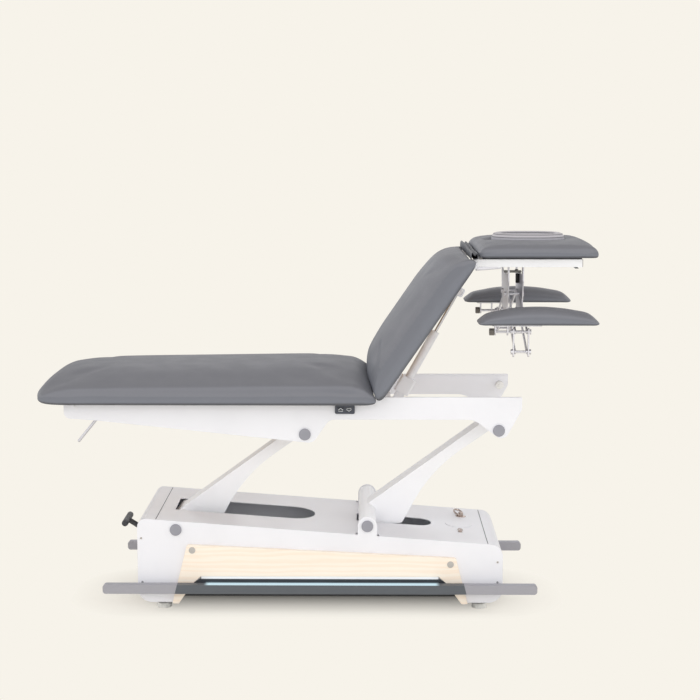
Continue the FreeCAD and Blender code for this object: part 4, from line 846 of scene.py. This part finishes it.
class TABLE_OT_gap_strip(bpy.types.Operator):
    """Folded strip of cover material over the gap at the head hinge"""
    bl_idname = "treatment_table.gap_strip"
    bl_label = "Gap strip"

    def execute(self, context):
        low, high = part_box("head_strap")
        middle = (low.x + high.x) / 2
        span = (high.x - low.x) / 2
        rise = high.z - low.z
        wall = context.scene.table_fittings.strap_wall
        steps = 40
        shape = bmesh.new()
        profile = [(-1.0, 0.0), (-1.06, 0.3), (-1.04, 0.75), (-0.8, 1.02), (-0.42, 1.0),
                   (-0.16, 0.72), (0.04, 0.6), (0.24, 0.72), (0.5, 0.94), (0.84, 0.86),
                   (1.02, 0.55), (1.0, 0.2), (0.7, 0.03), (0.1, 0.02), (-0.4, 0.02)]
        corners = [shape.verts.new((middle + across * (span - wall / 2), low.y,
                                    low.z + up * (rise - wall / 2))) for across, up in profile]
        edges = [shape.edges.new(pair) for pair in zip(corners, corners[1:])]
        for _ in range(steps):
            made = bmesh.ops.extrude_edge_only(shape, edges=edges)
            edges = [part for part in made["geom"] if isinstance(part, bmesh.types.BMEdge)]
            bmesh.ops.translate(shape, vec=(0, (high.y - low.y) / steps, 0), verts=new_verts(made))
        for vert in shape.verts:
            share = (vert.co.z - low.z) / rise
            along = vert.co.y * 11
            vert.co.x += 0.0011 * share * math.sin(along) + 0.0006 * math.sin(along * 2.7 + 1)
            vert.co.z += 0.0009 * share * math.sin(along * 1.6 + 0.7)
        bmesh.ops.recalc_face_normals(shape, faces=shape.faces)
        bmesh.ops.solidify(shape, geom=shape.faces[:], thickness=wall)
        strip = new_piece("gap_strip", subdivided(finished("gap_strip", shape, 80)), "head_section",
                          materials["strap_leather"])
        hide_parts("head_strap")
        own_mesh(strip)
        return {"FINISHED"}


# Fittings

def on_wall(shape, node, behind, height):
    """Stands a head on a side node's outer face, in millimetres from the back hinge and from the floor."""
    low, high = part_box(node)
    side = -1 if node.endswith("near") else 1
    outer = low.y if side < 0 else high.y
    return moved(shape, facing((back_hinge.x + behind * mm, outer, height * mm), (0, side, 0)))


def on_both_walls(make, node, places):
    """A head at every place on the near and on the far node."""
    return [on_wall(make(), f"{node}_{name}", *place) for name in side_names.values() for place in places]


def side_screw():
    sizes = bpy.context.scene.table_fittings
    return socket_screw(sizes.screw_radius, sizes.screw_height)


def panel_cap():
    sizes = bpy.context.scene.table_fittings
    return round_head(sizes.panel_cap_radius, sizes.panel_cap_height, 0.0008)


class TABLE_OT_base_fasteners(bpy.types.Operator):
    """Screws of the side plates and caps over the wood panels' bolts"""
    bl_idname = "treatment_table.base_fasteners"
    bl_label = "Base fasteners"

    def execute(self, context):
        for name, make, node, places, slot, finish in (
                ("base_screws", side_screw, "base_side", ((-750.7, 241.9), (383.5, 166)), "steel",
                 "pale_screw"),
                ("lower_base_screws", side_screw, "base_side", ((-748.5, 98.5), (383.6, 100.2)), "steel",
                 "steel_fittings"),
                ("panel_caps", panel_cap, "wood_panel", ((-587.4, 206.1), (232.9, 161.5)), "grey_plastic",
                 "panel_cap")):
            fitted(name, on_both_walls(make, node, places), "base", finish)
        return {"FINISHED"}


class TABLE_OT_light_channels(bpy.types.Operator):
    """Channels round the light strips, dark as painted shade of the recess over each strip, and the white
    edging of the wood panels over them
    """
    bl_idname = "treatment_table.light_channels"
    bl_label = "Light channels"

    def execute(self, context):
        sizes = context.scene.table_fittings
        low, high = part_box("led_strips")
        wall = abs(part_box("base_side_near")[0].y) + play
        front = abs(low.y) + 0.0022
        knee = sizes.knee_height
        foot = sizes.channel_foot
        top = high.z + sizes.channel_rise
        over_strip = high.z + play
        outline = [(low.x - 0.038, knee), (low.x - 0.0155, top), (high.x + 0.0015, top),
                   (high.x + 0.0245, knee), (high.x + 0.0245, foot), (high.x + 0.0006, foot),
                   (high.x + 0.0006, over_strip), (low.x - 0.0006, over_strip), (low.x - 0.0006, foot),
                   (low.x - 0.038, foot)]
        # The channels' dark colour is painted shade of the recess over each light strip.
        channels = [plate(outline, *sorted((side * wall, side * front))) for side in side_names]
        fitted("light_channels", channels, "base", "channel")
        edge = abs(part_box("wood_panel_near")[0].y) - 0.0012
        edging = soft_boxes((low.x - 0.0145, wall, top + play),
                            (high.x + 0.0005, edge, sizes.notch_height), 0.0012)
        fitted("panel_edging", edging, "base", "lit_white")
        return {"FINISHED"}


class TABLE_OT_service_fittings(bpy.types.Operator):
    """Quarter-turn latches by the service lid, small screws and dark seams of the top cover"""
    bl_idname = "treatment_table.service_fittings"
    bl_label = "Service fittings"

    def latch(self, radius, lean):
        """Seat, lug and leaning pull ring."""
        seat = round_head(radius, 0.0024, 0.0006)
        ring = bmesh.new()
        bmesh.ops.create_circle(ring, cap_ends=False, segments=10, radius=0.0016)
        moved(ring, Matrix.Translation((0.0085, 0, 0)) @ Matrix.Rotation(math.pi / 2, 4, "X"))
        bmesh.ops.spin(ring, geom=ring.verts[:] + ring.edges[:], cent=(0, 0, 0), axis=(0, 0, 1),
                       angle=2 * math.pi, steps=32, use_merge=True)
        moved(ring, Matrix.Translation((0.0085, 0, 0.0062)) @ Matrix.Rotation(-lean, 4, "Y")
              @ Matrix.Diagonal((1.1, 0.8, 1, 1)))
        return joined([seat, soft_box((-0.0035, -0.003, 0.0016), (0.0035, 0.003, 0.0088), 0.0012), ring])

    def execute(self, context):
        sizes = context.scene.table_fittings
        low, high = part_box("base_top_cover")
        slope = math.atan2(high.z - low.z, high.x - low.x)
        normal = Vector((math.sin(slope), 0, math.cos(slope)))

        def on_cover(x, y):
            return facing((x, y, high.z - (x - low.x) * math.tan(slope) + 0.0001), normal)

        centre = (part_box("service_cover")[0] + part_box("service_cover")[1]) / 2
        latches = []
        for aside, y, turn, size, lean in ((0.014, 0.12, 0.5, 2.0, 0.3), (0.0, -0.1, 0.0, 1.1, 0.08)):
            latches.append(moved(self.latch(sizes.latch_radius, lean), on_cover(centre.x + aside, y)
                                 @ Matrix.Rotation(turn, 4, "Z") @ Matrix.Scale(size, 4)))
        fitted("service_latches", latches, "base", "latch")
        seams = []
        for x in (low.x, high.x):
            rim = max(vert.co.z for vert in frame["nodes"]["base_top_cover"].data.vertices
                      if abs(vert.co.x - x) < 0.001)
            seams.append(soft_box((x - 0.0011, low.y + 0.006, rim - 0.004),
                                  (x + 0.0011, high.y - 0.006, rim + 0.0005), 0.0004))
        fitted("cover_seams", seams, "base", "channel")
        screws = [moved(socket_screw(sizes.screw_radius * 0.7, 0.0014), on_cover(back_hinge.x - 0.1205, y))
                  for y in (-0.089, 0.089)]
        fitted("cover_screws", screws, "base", "steel_fittings")
        return {"FINISHED"}


class TABLE_OT_key_icons(bpy.types.Operator):
    """Plain arrows on the two keys: table up and table down"""
    bl_idname = "treatment_table.key_icons"
    bl_label = "Key icons"

    def execute(self, context):
        line = context.scene.table_fittings.icon_line
        for key, up in (("up", 1), ("down", -1)):
            low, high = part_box(key + "_button")
            centre = (low + high) / 2
            half = (high.x - low.x) * 0.42
            foot = -0.0046 * up
            shapes = []
            for side in side_names:
                bar = soft_box((-half * 0.66, -0.0003, -line / 2), (half * 0.66, 0.0003, line / 2), 0.0002, 2)
                shapes.append(moved(bar, Matrix.Translation((side * half * 0.5, 0, 0.0018 * up))
                                    @ Matrix.Rotation(side * up * 0.62, 4, "Y")))
            shapes.append(soft_box((-half, -0.0003, foot - line * 0.4),
                                   (half, 0.0003, foot + line * 0.4), 0.0002, 2))
            icon = moved(joined(shapes), Matrix.Translation((centre.x, low.y - play, centre.z)))
            fitted(key + "_button_icon", [icon], key + "_key", "icon")
        return {"FINISHED"}


class TABLE_OT_head_fittings(bpy.types.Operator):
    """Adjusting lever under the near head rail, plugs in the rails' ends and clips under them"""
    bl_idname = "treatment_table.head_fittings"
    bl_label = "Head fittings"

    def execute(self, context):
        low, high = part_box("head_frame")
        width = abs(low.y)
        rail_low = head_hinge.z - 0.005
        reach = 0.084
        lever = soft_box((head_hinge.x + 0.006, low.y + 0.003, rail_low - 0.0125),
                         (head_hinge.x + reach, low.y + 0.016, rail_low - play), 0.0015)
        for vert in lever.verts:
            share = (vert.co.x - head_hinge.x) / reach
            vert.co.z = rail_low - (rail_low - vert.co.z) * (1 - 0.55 * share)
        fitted("head_lever", [lever], "head_section", "zinc")
        plugs = soft_boxes((high.x - 0.001, width - 0.0192, rail_low + 0.0008),
                           (high.x + 0.0026, width - 0.0008, high.z - 0.0008), 0.0012)
        fitted("rail_plugs", plugs, "head_section", "panel_cap")
        clips = soft_boxes((high.x - 0.026, width - 0.017, rail_low - 0.0045),
                           (high.x - 0.014, width - 0.003, rail_low - play), 0.001)
        for clip in clips:
            for vert in clip.verts:
                if vert.co.z < rail_low - 0.002:
                    vert.co.x += 0.0035
        fitted("rail_clips", clips, "head_section", "channel")
        return {"FINISHED"}


class TABLE_OT_hanger_release(bpy.types.Operator):
    """Release plate on top of the two hanger plates, with its dark spring between them"""
    bl_idname = "treatment_table.hanger_release"
    bl_label = "Hanger release"

    def execute(self, context):
        sizes = context.scene.table_fittings
        low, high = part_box("armrest_hangers")
        inner = high.x - sizes.hanger_wall
        notch = head_hinge.z - sizes.hanger_notch
        release = soft_box((low.x - 0.003, -0.012, notch + play),
                           (high.x + 0.003, 0.012, notch + 0.0068), 0.0014)
        button = moved(round_head(0.0058, 0.004, 0.0006),
                       Matrix.Translation((high.x - 0.012, 0, notch + 0.0066)))
        fitted("hanger_release", [release, button], "head_section", "dark_zinc")
        leaf = soft_box((inner - 0.0105, -0.0095, notch - 0.034),
                        (inner - play, 0.0095, notch - 0.003), 0.0016)
        fitted("hanger_spring", [leaf], "head_section", "dark_rubber")
        return {"FINISHED"}


class TABLE_OT_frame_fittings(bpy.types.Operator):
    """Board screws on the upper frame and plugs in the ends of the foot bars"""
    bl_idname = "treatment_table.frame_fittings"
    bl_label = "Frame fittings"

    def execute(self, context):
        fitted("frame_screws", on_both_walls(side_screw, "frame_side", ((-950, 671),)), "upper_frame",
               "lit_white")
        for side, name in side_names.items():
            low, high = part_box(f"foot_bar_{name}")
            outer = low.y if side < 0 else high.y
            near, far = sorted((outer - side * 0.0022, outer - side * 0.0258))
            plugs = []
            for x, outwards in ((low.x, -1), (high.x, 1)):
                inside, outside = sorted((x - outwards * 0.002, x + outwards * 0.0016))
                plugs.append(soft_box((inside, near, low.z + 0.006), (outside, far, high.z - 0.006), 0.0012))
            fitted(f"bar_plugs_{name}", plugs, f"bar_{name}", "panel_cap")
        return {"FINISHED"}


# Stage

class TABLE_OT_studio(bpy.types.Operator):
    """Pale floor and background, soft panels of light and the camera"""
    bl_idname = "treatment_table.studio"
    bl_label = "Studio"

    def execute(self, context):
        choices = context.scene.table_studio
        context.scene.view_settings.view_transform = "Standard"
        floor_shape = bmesh.new()
        bmesh.ops.create_circle(floor_shape, cap_ends=True, segments=96, radius=9)
        floor = linked("studio_floor", mesh_of("studio_floor", floor_shape))
        floor.data.materials.append(self.floor_material(choices))
        self.light_room(context, choices)
        camera_data = bpy.data.cameras.new("camera")
        camera_data.lens = choices.lens
        camera = linked("camera", camera_data)
        camera.location = (back_hinge.x - 0.04, -choices.distance, choices.height)
        camera.rotation_euler = (math.radians(90) - choices.pitch, 0, choices.yaw)
        context.scene.camera = camera
        return {"FINISHED"}

    def floor_material(self, choices):
        """Matt floor under the base, its shadow fading into the background a short way outside."""
        colour = choices.floor_colour
        finish = Finish("studio_floor", Roughness=0.9, Specular_IOR_Level=0.1)
        finish.feed("Base Color", finish.two_shades(finish.noise(3, 3), colour, 0.985, 0.995))
        low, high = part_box("base_chassis")
        middle = (low.x + high.x) / 2
        aside = finish.vector("ABSOLUTE", finish.vector("SUBTRACT", finish.place, (middle, 0, 0)))
        beyond = finish.vector("SUBTRACT", aside, (high.x - middle, 0.05, 0))
        outside = finish.vector("MAXIMUM", beyond, (0, 0, 0))
        distance = finish.vector("LENGTH", outside, output="Value")
        plain = finish.node("ShaderNodeEmission", None, {"Color": (*colour, 1), "Strength": 1.0})
        share = finish.ramp(distance, -0.02, choices.shadow_reach, kind="LINEAR")
        seen = finish.node("ShaderNodeLightPath", output="Is Camera Ray")
        lit = Value(finish, finish.shader.outputs[0])
        mixed = finish.node("ShaderNodeMixShader", None, {0: share * seen, 1: lit, 2: plain})
        finish.tree.links.new(mixed.socket, finish.tree.nodes["Material Output"].inputs["Surface"])
        return finish.material

    def light_room(self, context, choices):
        """Even room light, with the plain background where the camera or glass looks past the table."""
        world = bpy.data.worlds.new("room")
        context.scene.world = world
        world.use_nodes = True
        tree = world.node_tree
        room = tree.nodes["Background"]
        room.inputs["Color"].default_value = (1, 1, 1, 1)
        room.inputs["Strength"].default_value = choices.world_level
        backdrop = tree.nodes.new("ShaderNodeBackground")
        backdrop.inputs["Color"].default_value = (*choices.floor_colour, 1)
        path = tree.nodes.new("ShaderNodeLightPath")
        mix = tree.nodes.new("ShaderNodeMixShader")
        direct = tree.nodes.new("ShaderNodeMath")
        direct.operation = "MAXIMUM"
        for source, target in ((path.outputs["Is Camera Ray"], direct.inputs[0]),
                               (path.outputs["Is Transmission Ray"], direct.inputs[1]),
                               (direct.outputs[0], mix.inputs[0]),
                               (room.outputs[0], mix.inputs[1]),
                               (backdrop.outputs[0], mix.inputs[2]),
                               (mix.outputs[0], tree.nodes["World Output"].inputs["Surface"])):
            tree.links.new(source, target)
        middle = Vector((0, 0, 0.6))
        panels = (
            ("ceiling_panel", (0, -0.3, 3.4), (3.6, 2.2), choices.top_power),
            ("front_panel", (0.2, -4.6, 1.9), (4.2, 2.0), choices.front_power),
            ("foot_panel", (-3.4, -1.6, 1.6), (1.6, 1.6), choices.side_power),
            ("head_panel", (3.4, -1.6, 1.6), (1.6, 1.6), choices.side_power),
            ("rear_panel", (0, 4.2, 2.2), (3.2, 1.6), choices.side_power * 1.4),
        )
        for name, place, size, power in panels:
            lamp = bpy.data.lights.new(name, "AREA")
            lamp.shape = "RECTANGLE"
            lamp.size, lamp.size_y = size
            lamp.energy = power
            panel = linked(name, lamp)
            panel.location = place
            panel.rotation_euler = (middle - Vector(place)).to_track_quat("-Z", "Y").to_euler()


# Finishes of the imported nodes

materials = {}


def coat(node, material):
    """Gives a CAD node its finish through its object's own material slot."""
    piece = frame["nodes"][node]
    if not piece.material_slots:
        piece.data.materials.append(None)
    for place in piece.material_slots:
        place.link = "OBJECT"
        place.material = material


def on_sides(*names):
    return tuple(f"{name}_{side}" for name in names for side in side_names.values())


node_finishes = {
    "white": ("frame_cross_members", "back_frame", "back_hinge_pins", *on_sides("base_side", "frame_side")),
    "arm_lit_white": ("foot_arm", "head_arm"),
    "lit_white": ("head_frame",),
    "cover": ("base_top_cover", "base_end_foot", "base_end_head", "service_cover"),
    "chassis": ("base_chassis", "lift_motor"),
    "wood": on_sides("wood_panel"),
    "glow": ("led_strips",),
    "clear_rubber": ("levelling_feet",),
    "white_rubber": ("rest_buffers",),
    "steel": ("lower_shafts", "upper_shafts", "lift_rod", "strut_rod", "head_hinge_bolts"),
    "zinc": ("armrest_hangers", "hanger_pins", "foot_lever",
             *on_sides("armrest_upper_link", "armrest_lower_link", "armrest_carrier", "armrest_base")),
    "cap": ("lower_caps", "upper_caps"),
    "bar": on_sides("foot_bar"),
    "pedal": ("pedal",),
    "knob": on_sides("tilt_knob"),
    "bush": ("foot_arm_bushes", "head_arm_bushes"),
    "plywood": ("leg_board", "back_board"),
    "board": ("head_board",),
    "key_box": ("control_box",),
    "key": ("up_button", "down_button"),
    "strut": ("strut_cylinder",),
    "grey_leather": ("leg_pad", "back_pad", "head_pad", "head_strap", *on_sides("armrest_pad")),
    "ring_leather": ("face_cushion",),
}


class TABLE_OT_finishes(bpy.types.Operator):
    """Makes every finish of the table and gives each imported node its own"""
    bl_idname = "treatment_table.finishes"
    bl_label = "Finishes"

    def execute(self, context):
        pads = context.scene.table_pads
        paint = context.scene.table_paint
        grey = pads.cover_colour
        ring = pads.ring_colour
        lit = [corner.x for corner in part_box("led_strips")]
        materials.update({
            "white": powder_coat("white_powder_coat", paint.frame_colour),
            # Painted light: the arms' paint is a lighter copy of the frame's white.
            "arm_lit_white": powder_coat("arm_lit_powder_coat", paint.arm_lit_colour),
            # A lighter copy of the white powder coat: painted light on the head frame, the panel edging and
            # the frame screws.
            "lit_white": powder_coat("head_frame_lit_powder_coat", tint(252, 252, 254)),
            "cover": powder_coat("cover_powder_coat", paint.cover_colour, 0.4),
            # The dark colour under 85 mm is painted shade under the base.
            "chassis": paint_with_shade_below("chassis_paint_shaded_below", tint(222, 222, 226), tint(70, 70, 70), 0.085),
            "wood": panel_wood("ash_panel", paint.wood_light, paint.wood_dark),
            "glow": glow_strip("light_diffuser", paint.light_colour, paint.light_level),
            "clear_rubber": soft_rubber("foot_rubber", tint(250, 249, 245), 0.35, 0.05),
            "white_rubber": soft_rubber("buffer_rubber", tint(243, 242, 240), 0.5),
            "steel": brushed_metal("ground_steel", tint(200, 200, 204), (420, 20, 420), 0.3),
            "steel_fittings": brushed_metal("screw_steel", tint(178, 178, 182), (300, 300, 300), 0.34),
            "pale_screw": moulded_plastic("pale_screw_paint", tint(208, 202, 196), 0.4),
            "latch": brushed_metal("latch_metal", tint(186, 172, 164), (90, 90, 90), 0.2),
            "zinc": brushed_metal("zinc_plate", tint(216, 215, 220), (60, 60, 60), 0.42),
            "dark_zinc": brushed_metal("dark_zinc_plate", tint(128, 126, 122), (80, 80, 80), 0.4),
            "dark_rubber": soft_rubber("spring_rubber", tint(42, 42, 42), 0.5),
            "cap": moulded_plastic("pivot_cap_plastic", paint.cap_colour, 0.5),
            "panel_cap": moulded_plastic("panel_cap_plastic", tint(186, 182, 178), 0.45),
            # The bar's top takes painted light in the light strip's colour.
            "bar": control_bar("control_bar_plastic_and_painted_light", paint.bar_colour, paint.bar_end_colour,
                               back_hinge.x - 0.659, back_hinge.x + 0.301, lit, paint.light_colour),
            "pedal": moulded_plastic("pedal_plastic", paint.pedal_colour, 0.52),
            "knob": moulded_plastic("knob_plastic", tint(112, 107, 102), 0.5),
            "bush": brushed_metal("bush_bronze", tint(190, 160, 104), (300, 300, 300), 0.36),
            "plywood": plywood("birch_plywood"),
            "board": moulded_plastic("coated_board", tint(96, 96, 100), 0.55),
            "key_box": moulded_plastic("key_box_plastic", paint.key_box_colour, 0.36),
            "key": moulded_plastic("key_plastic", shade(paint.key_box_colour, 0.55), 0.42),
            "icon": moulded_plastic("icon_print", tint(225, 228, 232), 0.5),
            "strut": powder_coat("strut_paint", paint.strut_colour, 0.3),
            # Dark plastic; on the light channels its darkness is painted shade of their recess.
            "channel": moulded_plastic("channel_plastic", tint(58, 62, 68), 0.45),
            "grey_leather": leather("grey_imitation_leather", grey, pads.grain_size),
            "ring_leather": leather("light_imitation_leather", ring, pads.grain_size),
            "ring_seam": leather("seam_leather", shade(ring, 0.45), pads.grain_size * 0.5),
            "strap_leather": leather("strap_imitation_leather", shade(grey, 0.55), pads.grain_size),
        })
        for finish, nodes in node_finishes.items():
            for node in nodes:
                coat(node, materials[finish])
        missing = set(frame["nodes"]) - {node for nodes in node_finishes.values() for node in nodes}
        if missing:
            raise RuntimeError(f"no finish for {sorted(missing)}")
        return {"FINISHED"}


operators = (
    TABLE_OT_studio,
    TABLE_OT_finishes,
    TABLE_OT_leg_cushion,
    TABLE_OT_back_cushion,
    TABLE_OT_head_cushion,
    TABLE_OT_arm_cushions,
    TABLE_OT_face_ring,
    TABLE_OT_gap_strip,
    TABLE_OT_base_fasteners,
    TABLE_OT_light_channels,
    TABLE_OT_service_fittings,
    TABLE_OT_key_icons,
    TABLE_OT_head_fittings,
    TABLE_OT_hanger_release,
    TABLE_OT_frame_fittings,
)


class TABLE_PT_sidebar(bpy.types.Panel):
    """Sizes, colours and steps of the treatment table"""
    bl_label = "Treatment table"
    bl_space_type = "VIEW_3D"
    bl_region_type = "UI"
    bl_category = "Table"

    def draw(self, context):
        for name, group in property_groups.items():
            box = self.layout.box()
            for choice in group.__annotations__:
                box.prop(getattr(context.scene, name), choice)
        for operator in operators:
            self.layout.operator(operator.bl_idname)


def register():
    for name, group in property_groups.items():
        bpy.utils.register_class(group)
        setattr(bpy.types.Scene, name, bpy.props.PointerProperty(type=group))
    for kind in (*operators, TABLE_PT_sidebar):
        bpy.utils.register_class(kind)


def unregister():
    for kind in reversed((*operators, TABLE_PT_sidebar)):
        bpy.utils.unregister_class(kind)
    for name, group in property_groups.items():
        delattr(bpy.types.Scene, name)
        bpy.utils.unregister_class(group)


def main():
    register()
    for operator in operators:
        family, step = operator.bl_idname.split(".")
        getattr(getattr(bpy.ops, family), step)()


if __name__ == "__main__":
    main()
